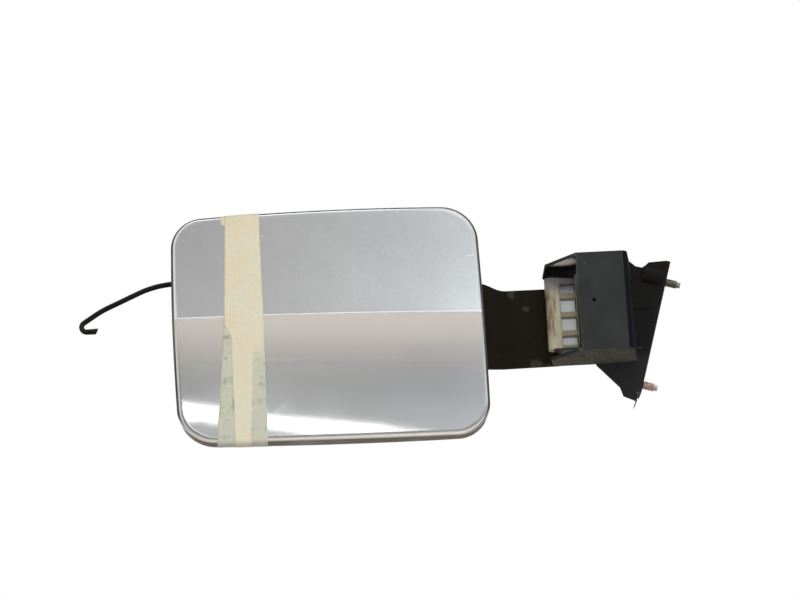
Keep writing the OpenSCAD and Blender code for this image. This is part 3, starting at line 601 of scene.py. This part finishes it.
def faceDepth(x, z):
    # how deep the crowned and creased face lies at a place, from the rim's plane
    a = math.radians(door["creaseTilt"])
    across, up = x * math.cos(a) - z * math.sin(a), x * math.sin(a) + z * math.cos(a)
    off = up - door["creaseZ"]
    span = door["halfH"] - door["creaseZ"] if off > 0 else door["halfH"] + door["creaseZ"]
    share = min(1.0, math.hypot(off, door["crestRound"]) / span)
    radius = door["halfW"] ** 2 / (2 * door["crown"]) + door["crown"] / 2
    arc = radius + door["ridge"] * (1 - share) ** 2
    return radius - door["crown"] - math.sqrt(arc ** 2 - across ** 2)


def edgePoint(t, along, across, first, last):
    # a place on one side of a rounded rectangle, from the middle of one corner to the next
    before, after = first * math.pi / 4, last * math.pi / 4
    straight = 2 * along - first - last
    s = t * (before + straight + after)
    if s < before:
        a = math.pi / 4 - s / first
        return first - along - first * math.sin(a), across - first + first * math.cos(a)
    if s < before + straight:
        return first - along + s - before, across
    a = (s - before - straight) / last
    return along - last + last * math.sin(a), across - last + last * math.cos(a)


def settled(x, z):
    # the real outline is a little out of true: lower on the right, and leaning
    q = z / door["halfH"]
    drop = door["topDrop"] if z > 0 else max(0.0, door["drop"] + door["dropSlope"] * x)
    lean = door["lean"] + door["rightLean"] * x / door["halfW"]
    return x - door["shift"] - lean * q, z - drop * q * q


def outlinePoint(u, v, inset):
    # a square's rim mapped to the flap's outline, at a distance inside it
    w, h = door["halfW"] - inset, door["halfH"] - inset
    c = {key: max(r - inset, 2.0) for key, r in door["corners"].items()}
    if abs(v) >= abs(u):
        ends = (c["topLeft"], c["topRight"]) if v > 0 else (c["lowLeft"], c["lowRight"])
        x, z = edgePoint((u / abs(v) + 1) / 2, w, h, *ends)
        z = math.copysign(z, v)
    else:
        ends = (c["lowRight"], c["topRight"]) if u > 0 else (c["lowLeft"], c["topLeft"])
        z, x = edgePoint((v / abs(u) + 1) / 2, h, w, *ends)
        x = math.copysign(x, u)
    side = door["leftBulge"] if x < 0 else door["rightBulge"]
    p, q = x / door["halfW"], z / door["halfH"]
    return settled(x * (1 - side * q * q / door["halfW"]),
                   z * (1 - door["endBulge"] * p * p / door["halfH"]))


def outlineGrid(columns, rows, inset):
    # a flat sheet of the flap's outline, with each rim point's place on the square kept
    bm = bmesh.new()
    bmesh.ops.create_grid(bm, x_segments=columns, y_segments=rows, size=1.0)
    keepU, keepV = bm.verts.layers.float.new("u"), bm.verts.layers.float.new("v")
    for vert in bm.verts:
        u, v = vert.co.x, vert.co.y
        vert[keepU], vert[keepV] = u, v
        m = max(abs(u), abs(v))
        x, z = outlinePoint(u / m, v / m, inset) if m > 1e-6 else (0.0, 0.0)
        vert.co = (x * m, 0.0, z * m)
    return bm, keepU, keepV


def buildSkin():
    d = door
    bm, keepU, keepV = outlineGrid(*d["grid"], d["rimRound"])
    rings = [(d["rimRound"] * (1 - math.sin(a)), d["rimRound"] * (1 - math.cos(a)))
             for a in (math.radians(15 * k) for k in range(1, 7))]
    rings += [(0.0, depth) for depth in (*d["wallRows"], d["depth"] - d["hemRound"])]
    rings += [(d["hemRound"] * (1 - math.cos(a)), d["depth"] - d["hemRound"] + d["hemRound"] * math.sin(a))
              for a in (math.radians(22.5 * k) for k in range(1, 5))]
    rings += [(d["hemWidth"] * 0.5, d["depth"]), (d["hemWidth"], d["depth"])]
    edges = [e for e in bm.edges if e.is_boundary]
    for inset, depth in rings:
        made = bmesh.ops.extrude_edge_only(bm, edges=edges)["geom"]
        edges = [g for g in made if isinstance(g, bmesh.types.BMEdge)]
        for vert in (g for g in made if isinstance(g, bmesh.types.BMVert)):
            x, z = outlinePoint(vert[keepU], vert[keepV], inset)
            vert.co = (x, depth, z)
    # extra rows along the crease, so that its crest is round and even
    a = math.radians(d["creaseTilt"])
    for off in d["creaseRows"]:
        level = d["creaseZ"] + off
        bmesh.ops.bisect_plane(bm, geom=bm.verts[:] + bm.edges[:] + bm.faces[:], dist=1e-4,
                               plane_co=(level * math.sin(a), 0, level * math.cos(a)),
                               plane_no=(math.sin(a), 0, math.cos(a)))
    hem = d["depth"] - d["hemRound"]
    for vert in bm.verts:
        fade = 1.0 if vert.co.y <= d["rimRound"] else max(0.0, (hem - vert.co.y) / (hem - d["rimRound"]))
        vert.co.y += faceDepth(vert.co.x, vert.co.z) * fade
    bmesh.ops.recalc_face_normals(bm, faces=bm.faces)
    frontFirst(bm)
    smoothByAngle(bm, 60)
    toRow(bm, flapAt)
    skin = newPiece("outerSkinFinished", bm, "flap", silverPaint(), ["outer_skin"])
    wall = skin.modifiers.new("sheet", "SOLIDIFY")
    wall.thickness, wall.offset = d["sheet"] * mm, -1.0


def trayShare(x, z):
    # 1 on the tray's floor, 0 outside it
    dx = abs(x - tray["x"]) - tray["w"] / 2 + tray["r"]
    dz = abs(z) - tray["h"] / 2 + tray["r"]
    away = math.hypot(max(dx, 0), max(dz, 0)) + min(max(dx, dz), 0) - tray["r"]
    return eased(-away / tray["slope"])


def buildInnerPanel():
    bm = outlineGrid(*tray["grid"], tray["inset"])[0]
    for vert in bm.verts:
        vert.co.y = tray["back"] - tray["depth"] * trayShare(vert.co.x, vert.co.z)
    bmesh.ops.recalc_face_normals(bm, faces=bm.faces)
    if bm.faces[:][0].normal.y < 0:
        bmesh.ops.reverse_faces(bm, faces=bm.faces)
    smoothByAngle(bm, 60)
    toRow(bm, flapAt)
    panel = newPiece("innerPanelFinished", bm, "flap", innerPaint(), ["inner_panel"])
    wall = panel.modifiers.new("sheet", "SOLIDIFY")
    wall.thickness, wall.offset = door["sheet"] * mm, -1.0


buildSkin()
buildInnerPanel()
print("flap's sheet metal made")


# Tape and rod

rod = {
    "r": 1.5, "y": 10.3, "z": 30.2, "right": 12.0,
    # bends from the flap's left side and the rod's height: x, z and radius; then the tail's tip
    "bends": [(-8.8, 0.5, 55.0), (-41.0, -13.7, 50.0), (-59.8, -25.9, 2.9)], "tip": (-43.9, -25.6),
    # the tail's end is hammered over a length, thinned by a share, and cut at a slope
    "hammered": 7.0, "thinned": 0.18, "slant": 0.45, "cutFrom": 0.72,
}
tape = {
    "thickness": 0.16, "gap": 0.05, "waver": 0.28, "crumple": 0.10, "columns": 22, "frontSteps": 84,
    "start": -48.0, "ear": 2.6, "earFrom": 60.0, "earRise": 1.2, "tent": 12.0, "tentRise": 10.5,
    "climbFrom": 0.5, "climb": 0.7,
    # the second turn's single strip begins at a line that leans with the height
    "singleFrom": -42.75, "singleLean": 0.0669,
}
# edges of each turn: height and place, from the flap's centre
tapes = [
    {"name": "tapeFirstTurn", "node": "tape_first_turn", "seed": 3.0,
     "left": [(-71, -66.3), (0, -59.8), (71, -56.8)],
     "right": [(-71, -47.5), (0, -39.4), (71, -38.0)]},
    {"name": "tapeSecondTurn", "node": "tape_second_turn", "seed": 11.0,
     "left": [(-71, -55.8), (-6, -55.9), (1, -59.6), (71, -56.7)],
     "right": [(-71, -37.4), (0, -37.0), (71, -37.3)]},
]


def wrapLoop(x):
    # the closed line that a turn of tape follows round the flap, as depth, height and outward direction
    d = door
    high = d["halfH"] - d["endBulge"] * (x / d["halfW"]) ** 2
    top, bottom = settled(x, high)[1], settled(x, -high)[1]
    rim, hem, deep = d["rimRound"], d["hemRound"], d["depth"]
    loop = []
    for k in range(tape["frontSteps"] + 1):
        z = (top - rim) + (bottom - top + 2 * rim) * k / tape["frontSteps"]
        slope = faceDepth(x, z + 0.5) - faceDepth(x, z - 0.5)
        loop.append((faceDepth(x, z), z, Vector((-1.0, slope)).normalized()))
    for end in (-1, 1):
        side = []
        reach = top if end > 0 else -bottom
        start = faceDepth(x, end * (reach - rim)) + rim
        for k in range(1, 5):
            a = math.radians(22.5 * k)
            side.append((start - rim * math.cos(a), end * (reach - rim + rim * math.sin(a)),
                         Vector((-math.cos(a), end * math.sin(a)))))
        for k in range(1, 4):
            side.append((start + (deep - hem - start) * k / 4, end * reach, Vector((0.0, end))))
        for k in range(0, 5):
            a = math.radians(22.5 * k)
            side.append((deep - hem + hem * math.sin(a), end * (reach - hem + hem * math.cos(a)),
                         Vector((math.sin(a), end * math.cos(a)))))
        if end < 0:
            loop += side + backRun(bottom + hem, top - hem)
        else:
            loop += reversed(side)
    return loop


def backRun(bottom, top):
    # behind the flap the tape runs flat, and as a tent over the rod
    flat, peak = door["depth"], rod["y"] + rod["r"] + tape["gap"] - door["depth"]
    line = []
    low = bottom
    for high, steps in ((rod["z"] - tape["tent"], 26), (rod["z"] - rod["r"], 8), (rod["z"] + rod["r"], 3),
                        (rod["z"] + tape["tent"], 8), (top, 9)):
        for k in range(1, steps + 1):
            z = low + (high - low) * k / steps
            share = min(1.0, max(0.0, (tape["tent"] - abs(z - rod["z"])) / tape["tentRise"]))
            lean = 0.0 if share in (0.0, 1.0) else -math.copysign(peak / tape["tentRise"], rod["z"] - z)
            line.append((flat + peak * share, z, Vector((1.0, lean)).normalized()))
        low = high
    return line[:-1]


def tapeEdge(turn, z, side):
    # an edge of the tape at a height, from its places between the flap's bottom and top
    for (low, x), (high, after) in zip(turn[side], turn[side][1:]):
        if z <= high:
            return x + (after - x) * (z - low) / (high - low)
    return turn[side][-1][1]


def tapePlace(turn, row, rows, u):
    # a point of one turn: the loop depends a little on x, and the edges on the height
    first = turn is tapes[0]
    x = tape["start"]
    for _ in range(3):
        y, z, outward = wrapLoop(x)[row]
        left, right = tapeEdge(turn, z, "left"), tapeEdge(turn, z, "right")
        if first and (row <= tape["frontSteps"] or row > rows - 6) and z > tape["earFrom"]:
            left -= tape["ear"] * min(1.0, (z - tape["earFrom"]) / tape["earRise"])  # the torn ear at the top
        left += tape["waver"] * noise.noise(Vector((turn["seed"], z * 0.12, y * 0.12)))
        right += tape["waver"] * noise.noise(Vector((turn["seed"] + 40, z * 0.12, y * 0.12)))
        x = left + (right - left) * u
    lift = tape["gap"]
    if not first:
        # this turn climbs over the edges of the one below
        inside = min(x - tapeEdge(tapes[0], z, "left"), tapeEdge(tapes[0], z, "right") - x)
        lift += (tape["thickness"] + 0.02) * eased((inside + tape["climbFrom"]) / tape["climb"])
    crumple = noise.noise(Vector((x * 0.11, z * 0.2 + turn["seed"], y * 0.2)))
    lift += tape["crumple"] * max(0.0, crumple)
    return x, y + outward.x * lift, z + outward.y * lift


def firstAlone(f):
    # where the first turn shows by itself
    low = f.ramp(f.z, 6 * mm, -8 * mm)
    return f.mul(f.most(low, 0.12), f.ramp(f.cloud(160.0), 0.15, 0.5, 0.75, 1.0))


def secondAlone(f):
    # where the second turn lies beside the first one
    t = f.tree
    line = sums(t, "MULTIPLY", sums(t, "SUBTRACT", f.z, flapAt.z * mm), tape["singleLean"])
    line = sums(t, "ADD", line, (flapAt.x + tape["singleFrom"]) * mm)
    beyond = f.ramp(sums(t, "SUBTRACT", f.x, line), 0.0, 0.5 * mm)
    beyond = f.mul(beyond, f.ramp(f.z, -6 * mm, -24 * mm))
    return f.mul(beyond, f.ramp(f.cloud(160.0), 0.15, 0.5, 0.7, 1.0))


def buildTape(turn, singleFrom):
    rows = len(wrapLoop(tape["start"]))
    bm = bmesh.new()
    bmesh.ops.create_grid(bm, x_segments=tape["columns"], y_segments=rows, size=1.0)
    for vert in bm.verts:
        row = round((vert.co.y + 1) / 2 * rows) % rows
        vert.co = tapePlace(turn, row, rows, (vert.co.x + 1) / 2)
    bmesh.ops.remove_doubles(bm, verts=bm.verts, dist=1e-4)
    bmesh.ops.recalc_face_normals(bm, faces=bm.faces)
    frontFirst(bm)
    area = sum(face.calc_area() for face in bm.faces)
    smoothByAngle(bm, 50)
    toRow(bm, flapAt)
    paper = maskingTape(turn["name"] + "Paper", singleFrom)
    piece = newPiece(turn["name"], bm, "flap", paper, [turn["node"]])
    wall = piece.modifiers.new("paper", "SOLIDIFY")
    wall.thickness, wall.offset = tape["thickness"] * mm, 1.0
    width = sum(tapeEdge(turn, z, "right") - tapeEdge(turn, z, "left") for z in (-60, -30, 30, 60)) / 4
    print(turn["name"], "width", round(width, 1), "length", round(area / width, 1))


def arcCorner(p, q, s, r, steps=14):
    # the points of one bend of a rod, in its own plane
    a, b = (q - p).normalized(), (s - q).normalized()
    swing = a.angle(b)
    side = math.copysign(1.0, a.x * b.y - a.y * b.x)
    start = q - a * r * math.tan(swing / 2)
    normal = Vector((-a.y, a.x)) * side
    centre = start + normal * r
    return [centre - normal * r * math.cos(swing * k / steps) + a * r * math.sin(swing * k / steps)
            for k in range(steps + 1)]


def buildRod():
    w = door["halfW"]
    corners = [Vector((x - w, rod["z"] + z)) for x, z in [bend[:2] for bend in rod["bends"]] + [rod["tip"]]]
    corners.insert(0, Vector((rod["right"], rod["z"])))
    line = [corners[0]]
    for i, bend in enumerate(rod["bends"], 1):
        line += arcCorner(corners[i - 1], corners[i], corners[i + 1], bend[2])
    line.append(corners[-1])
    bm = sweep([(p.x, rod["y"], p.y) for p in line], rod["r"])
    tip = corners[-1]
    for vert in bm.verts:
        near = 1 - min(1.0, (Vector((vert.co.x, vert.co.z)) - tip).length / rod["hammered"])
        vert.co.z += (vert.co.z - tip.y) * rod["thinned"] * near
        vert.co.y = rod["y"] + (vert.co.y - rod["y"]) * (1 - rod["thinned"] * near)
        if near > rod["cutFrom"]:
            vert.co.x += (vert.co.z - tip.y) * rod["slant"]
    smoothByAngle(bm, 40)
    toRow(bm, flapAt)
    newPiece("hookedRodFinished", bm, "flap", rodBlack(), ["hooked_rod"])


buildRod()
buildTape(tapes[0], firstAlone)
buildTape(tapes[1], secondAlone)
print("rod and tape made")


# Studs, spring and the pieces that keep their solids' forms

stud = {
    "pitchApart": 64.5, "r": 2.5, "out": 8.8, "tilt": 16.5, "wall": 2.0, "headR": 5.5, "headH": 1.5,
    "threadPitch": 0.8, "threadDeep": 0.42, "threadFrom": -0.5, "flank": 0.33, "land": 0.12,
    "point": 1.8, "pointLess": 0.8, "chamfer": 0.3, "steps": 28,
}


def spun(bm, points, turn=(0, 0, 0), merge=True):
    # a line of radii and heights turned once round Z; turn is the climb of one step
    verts = [bm.verts.new((r, 0, z)) for r, z in points]
    line = [bm.edges.new(pair) for pair in zip(verts, verts[1:])]
    bmesh.ops.spin(bm, geom=verts + line, cent=(0, 0, 0), axis=(0, 0, 1), dvec=turn, angle=math.tau,
                   steps=stud["steps"], use_merge=merge)


def buildStud(side, name, node, material):
    s = stud
    bm = bmesh.new()
    headR, foot, under, bevel = s["headR"], -s["wall"], -s["wall"] - s["headH"], s["chamfer"]
    core, neck = s["r"] - s["threadDeep"] + 0.02, s["out"] - s["point"]
    tip, end = s["r"] - s["pointLess"], s["out"]
    spun(bm, [(0, under), (headR - bevel, under), (headR, under + bevel), (headR, foot), (core, foot),
              (core, neck - bevel), (tip, neck), (tip, end - bevel), (tip - bevel, end), (0, end)])
    bmesh.ops.remove_doubles(bm, verts=bm.verts, dist=1e-4)
    # the thread: a toothed line that climbs one tooth in a turn
    pitch, crown = s["threadPitch"], s["r"] - 0.03
    teeth = int((neck + 0.6) / pitch) - 1
    line = []
    for k in range(teeth):
        z = s["threadFrom"] + k * pitch
        line += [(core, z), (crown, z + s["flank"]), (crown, z + s["flank"] + s["land"])]
    line.append((core, s["threadFrom"] + teeth * pitch))
    spun(bm, line, (0, 0, pitch / s["steps"]), False)
    bmesh.ops.remove_doubles(bm, verts=bm.verts, dist=1e-3)
    bmesh.ops.recalc_face_normals(bm, faces=bm.faces)
    smoothByAngle(bm, 34)
    # the stud's own length lies along its Z; it leaves the leaning flange square
    lean, square = (Matrix.Rotation(math.radians(angle), 4, "Y") for angle in (s["tilt"], 90))
    place = lean @ Matrix.Translation((0, 0, side * s["pitchApart"] / 2)) @ square
    bmesh.ops.transform(bm, matrix=place, verts=bm.verts)
    toRow(bm, Vector((0, 0, 0)))
    newPiece(name, bm, "bracket", material, [node])


upperZinc = platedSteel("upperStudZinc", tint(154, 155, 139), tint(108, 104, 90), 0.4).material
buildStud(1, "studUpperFinished", "stud_upper", upperZinc)
buildStud(-1, "studLowerFinished", "stud_lower", lowerStudSteel())

spring = {
    "wire": 0.6, "r": 4.7, "turns": 2 + 60 / 360, "start": 60.0, "low": 22.2, "pitch": 1.3, "leg": 15.0,
    "stopY": -19.3, "turnStep": 30, "still": 24.9, "driven": 22.4,
}


def buildSpring():
    s = spring
    coil = []
    for k in range(round(s["turns"] * s["turnStep"]) + 1):
        a = math.radians(s["start"] - 360 * k / s["turnStep"])
        high = s["low"] + s["pitch"] * k / s["turnStep"]
        coil.append(Vector((s["r"] * math.cos(a), s["r"] * math.sin(a), high)))
    a = math.radians(s["start"])
    out, end = Vector((-math.sin(a), math.cos(a), 0)) * s["leg"], coil[-1]
    legs = [coil[0] + out * t for t in (1.0, 0.6, 0.25)]
    upper = [Vector((end.x, end.y + (s["stopY"] - end.y) * t, end.z)) for t in (0.25, 0.6, 1.0)]
    bm = sweep(legs + coil + upper, s["wire"], 10)
    smoothByAngle(bm, 40)
    toRow(bm, pinAt)
    piece = newPiece("torsionSpringFinished", bm, None, springSteel(), ["torsion_spring"])
    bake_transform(piece)


buildSpring()
black = bracketBlack()


# how far the real outlines leave the plain solids'; heights of the arm and nose are from the pin's middle
armFit = {
    "low": -19, "high": 12, "flapEdge": -102.5, "behindFlap": -112, "blockX": -60,
    "lowRise": 0.25, "lowFlare": 1.3, "lowRun": 13, "blockRise": 0.3,
    "highRise": 0.45, "highRun": 17, "shoulder": 1.0, "shoulderAt": 0.42, "shoulderHalf": 0.4,
    "rootDrop": 1.5, "rootRun": 0.25,
}
boxFit = {"right": -16.5, "back": -8, "roof": 36, "floor": (-19, -16.5), "up": 0.5, "down": 0.6}
noseFit = {"high": 21.5, "from": 7.5, "upper": 1.3, "lower": 0.8}


def settleArm(vert):
    # the edges of the neck, a little off the plain solid's where they flare to the flap
    a = armFit
    high, out = vert.co.z / mm - pinAt.z, vert.co.x / mm - a["flapEdge"]
    if high < a["low"]:
        flare = min(1.0, max(0.0, 1 - out / a["lowRun"]))
        beside = a["blockRise"] if vert.co.x / mm > a["blockX"] else 0.0
        vert.co.z += (a["lowRise"] + a["lowFlare"] * flare + beside) * mm
    elif high > a["high"] and vert.co.x / mm > a["behindFlap"]:
        t = max(0.0, out / a["highRun"])
        shoulder = max(0.0, 1 - abs(t - a["shoulderAt"]) / a["shoulderHalf"])
        root = max(0.0, 1 - t / a["rootRun"])
        vert.co.z += (a["highRise"] + a["shoulder"] * shoulder - a["rootDrop"] * root) * mm


def settleBox(vert):
    # the bracket's upper and lower walls stand a little further apart
    b = boxFit
    x, y, z = vert.co / mm
    if x < b["right"] and y < b["back"] and z > b["roof"]:
        vert.co.z += b["up"] * mm
    elif x < b["right"] and b["floor"][0] < z < b["floor"][1]:
        vert.co.z -= b["down"] * mm


def settleNose(vert):
    # both ends of the nose lie a little higher than the plain solid's
    n = noseFit
    high = vert.co.z / mm - pinAt.z
    if abs(abs(high) - n["high"]) < 0.3 and vert.co.x < (pinAt.x - n["from"]) * mm:
        vert.co.z += (n["upper"] if high > 0 else n["lower"]) * mm


softened("hinge_bracket", black, "bracket", 0.35, settle=settleBox)
softened("hinge_arm", armBlack(), "flap", 0.4, settle=settleArm)
softened("hinge_block", agedNylon(), "flap", 0.35, settle=settleNose)
pinSteel = platedSteel("pinSteel", tint(46, 43, 39), tint(34, 28, 24), 0.5).material
softened("hinge_pin", pinSteel, "bracket", 0.2)
zinc = platedSteel("fastenerZinc", tint(176, 172, 150), tint(120, 96, 66), 0.3).material
for name in ("flap_screw_upper", "flap_screw_lower", "weld_nut_upper", "weld_nut_lower"):
    softened(name, zinc, "flap", 0.25)
catchSteel = platedSteel("catchSteel", tint(150, 148, 138), tint(104, 84, 62), 0.3, 0.42).material
softened("lock_catch", catchSteel, "flap", 0.25)
for name in ("catch_rivet_upper", "catch_rivet_lower"):
    softened(name, catchSteel, "flap", 0.15)
rubber = blackRubber("bufferRubber", tint(24, 24, 24), tint(38, 37, 36))
for name in ("buffer_upper", "buffer_lower"):
    softened(name, rubber, "flap", 0.35)
nodes["mastic_beads"].data.materials.clear()
nodes["mastic_beads"].data.materials.append(blackRubber("masticDabs", tint(40, 39, 37), tint(62, 60, 57)))
print("hinge, studs and fittings made")


# Camera, floor and light

view = {
    "place": (-0.1875, -1.5536, -0.4006), "aim": (-0.1503, -0.055, 0.0128), "roll": 3.13, "lens": 122.47,
    "sensor": 36.0,
}
light = {
    "around": 0.36, "floorZ": -0.47, "floorHalf": 4.0, "floorPale": 0.88, "floorGrey": 0.84, "strip": 10.5,
    # lamps: place, aim, size, power, and whether gloss shows them
    "lamps": {"keyLight": ((-0.5, -1.3, 1.5), (-0.15, 0, 0), (1.2, 0.8), 6.0, True),
              "fillLight": ((0.9, -1.5, 0.3), (-0.1, 0, 0), (0.8, 0.8), 3.0, False),
              "frontLight": ((-0.1, -1.5, -0.25), (-0.12, 0, 0), (0.3, 0.3), 5.5, False)},
    # corners of the bright strip that the lower paint mirrors, as x and z
    "stripCorners": [(-0.86, 0.4455), (-0.64, 0.4457), (-0.44, 0.4505), (-0.21, 0.4517), (-0.01, 0.4553),
                     (0.085, 0.461), (0.223, 0.4654), (0.223, 0.4671), (-0.01, 0.4695), (-0.21, 0.472),
                     (-0.44, 0.4685), (-0.64, 0.4675), (-0.86, 0.4712)],
    "stripY": -2.49,
    # the graded card: its sides, and its brightness at heights
    "cardX": (-2.8, 2.4), "cardY": -2.75,
    "ladder": [(-0.45, 0.32), (-0.05, 0.30), (0.08, 0.02), (0.40, 0.02), (0.55, 0.30), (0.7, 0.42),
               (0.95, 0.46), (1.25, 0.55), (1.95, 0.6)],
    "ladderFull": 2.0, "upperFrom": (0.65, 0.95), "glowAt": (0.55, -2.75, 1.3), "glow": 0.85,
    "cool": (0.96, 1.0, 1.05, 1),
}


def placeCamera():
    data = bpy.data.cameras.new("camera")
    data.lens, data.sensor_width = view["lens"], view["sensor"]
    camera = bpy.data.objects.new("camera", data)
    scene.collection.objects.link(camera)
    place, aim = Vector(view["place"]), Vector(view["aim"])
    ahead = (aim - place).normalized()
    right = ahead.cross(Vector((0, 0, 1))).normalized()
    up = right.cross(ahead)
    r = math.radians(view["roll"])
    right, up = right * math.cos(r) - up * math.sin(r), right * math.sin(r) + up * math.cos(r)
    turned = Matrix((right, up, -ahead)).transposed().to_4x4()
    camera.matrix_world = Matrix.Translation(place) @ turned
    scene.camera = camera


def lookAt(place, aim):
    return (Vector(aim) - Vector(place)).to_track_quat("-Z", "Y").to_matrix().to_4x4()


def areaLight(name, place, aim, size, power, glossy):
    data = bpy.data.lights.new(name, "AREA")
    data.shape, data.size, data.size_y, data.energy = "RECTANGLE", size[0], size[1], power
    lamp = bpy.data.objects.new(name, data)
    scene.collection.objects.link(lamp)
    lamp.matrix_world = Matrix.Translation(place) @ lookAt(place, aim)
    lamp.visible_camera, lamp.visible_glossy = False, glossy


def backdropMask(tree):
    # white for the camera and for what gloss and glass show; a plain level of light for the rest
    ray = put(tree, "ShaderNodeLightPath").outputs
    return sums(tree, "MAXIMUM", sums(tree, "MAXIMUM", ray["Is Camera Ray"], ray["Is Glossy Ray"]),
                ray["Is Transmission Ray"])


def lightWorld():
    world = bpy.data.worlds.new("studio")
    scene.world = world
    world.use_nodes = True
    tree = world.node_tree
    tree.nodes.clear()
    level = put(tree, "ShaderNodeMix", {0: backdropMask(tree), 2: light["around"], 3: 1.0}).outputs[0]
    back = put(tree, "ShaderNodeBackground", {"Color": (1, 1, 1, 1), "Strength": level})
    put(tree, "ShaderNodeOutputWorld", {"Surface": back.outputs[0]})


def staged(name, bm, material):
    # a flat stage piece, which isn't part of the object
    mesh = bpy.data.meshes.new(name)
    bm.to_mesh(mesh)
    bm.free()
    piece = bpy.data.objects.new(name, mesh)
    scene.collection.objects.link(piece)
    mesh.materials.append(material)
    return piece


def buildFloor():
    bm = bmesh.new()
    bmesh.ops.create_grid(bm, x_segments=2, y_segments=2, size=light["floorHalf"])
    bmesh.ops.translate(bm, verts=bm.verts, vec=(-0.18, 0.0, light["floorZ"]))
    f = Finish("paleFloor", IOR=1.4, Roughness=0.85)
    grey, pale = ((level, level, level, 1) for level in (light["floorGrey"], light["floorPale"]))
    f.set(Base_Color=f.mix(f.patch(1.2, 0.3, 0.7), grey, pale))
    staged("floor", bm, f.material)


def glowing(name, corners, y, fill):
    # a flat glowing card that mirrors in the paint; neither the camera nor plain light sees it
    bm = bmesh.new()
    verts = [bm.verts.new((x, y, z)) for x, z in corners]
    bmesh.ops.contextual_create(bm, geom=verts)
    material = bpy.data.materials.new(name)
    material.use_nodes = True
    tree = material.node_tree
    tree.nodes.clear()
    glow = put(tree, "ShaderNodeEmission", fill(tree))
    put(tree, "ShaderNodeOutputMaterial", {"Surface": glow.outputs[0]})
    card = staged(name, bm, material)
    card.visible_camera = card.visible_shadow = False
    return card


def ladderColour(tree, height):
    # the card's grey at a height, from the ladder's stops
    ladder = light["ladder"]
    low, high = ladder[0][0], ladder[-1][0]
    share = put(tree, "ShaderNodeMapRange", {0: height, 1: low, 2: high}).outputs[0]
    stops = put(tree, "ShaderNodeValToRGB", {0: share})
    band = stops.color_ramp
    for element, (level, value) in zip(band.elements, (ladder[0], ladder[-1])):
        element.color = (value, value, value, 1)
    for level, value in ladder[1:-1]:
        band.elements.new((level - low) / (high - low)).color = (value, value, value, 1)
    return stops.outputs[0]


def cardFill(tree):
    coords = put(tree, "ShaderNodeTexCoord").outputs["Object"]
    x, y, z = put(tree, "ShaderNodeSeparateXYZ", {0: coords}).outputs
    # the upper half mirrors a level that rises to the right, with a glow beyond the flap's right end
    lean = put(tree, "ShaderNodeMapRange", {0: x, 1: -0.9, 2: 0.1, 3: 0.66, 4: 0.95}).outputs[0]
    away = put(tree, "ShaderNodeVectorMath", {0: coords, 1: light["glowAt"]}, operation="DISTANCE")
    lean = sums(tree, "ADD", lean, ramp(tree, away.outputs["Value"], 0.42, 0.05, 0.0, light["glow"]))
    # the lower half mirrors another one that rises in two steps
    lowLean = sums(tree, "ADD", ramp(tree, x, -0.9, -0.3, 0.6, 1.0), ramp(tree, x, -0.15, 0.55, 0.0, 1.45))
    upper = ramp(tree, z, *light["upperFrom"])
    strength = put(tree, "ShaderNodeMix", {0: upper, 2: lowLean, 3: lean}).outputs[0]
    cool = put(tree, "ShaderNodeMix", {0: ramp(tree, x, -0.4, 0.5), 6: ladderColour(tree, z),
                                       7: light["cool"]}, data_type="RGBA", blend_type="MULTIPLY")
    return {"Color": cool.outputs[2], "Strength": sums(tree, "MULTIPLY", strength, light["ladderFull"])}


def buildCards():
    left, right = light["cardX"]
    low, high = light["ladder"][0][0], light["ladder"][-1][0]
    glowing("gradedCard", [(left, low), (right, low), (right, high), (left, high)], light["cardY"], cardFill)
    strip = glowing("brightStrip", light["stripCorners"], light["stripY"],
                    lambda tree: {"Strength": light["strip"]})
    strip.visible_diffuse = False


placeCamera()
lightWorld()
buildFloor()
buildCards()
for name, settings in light["lamps"].items():
    areaLight(name, *settings)
print("camera, floor and light placed")
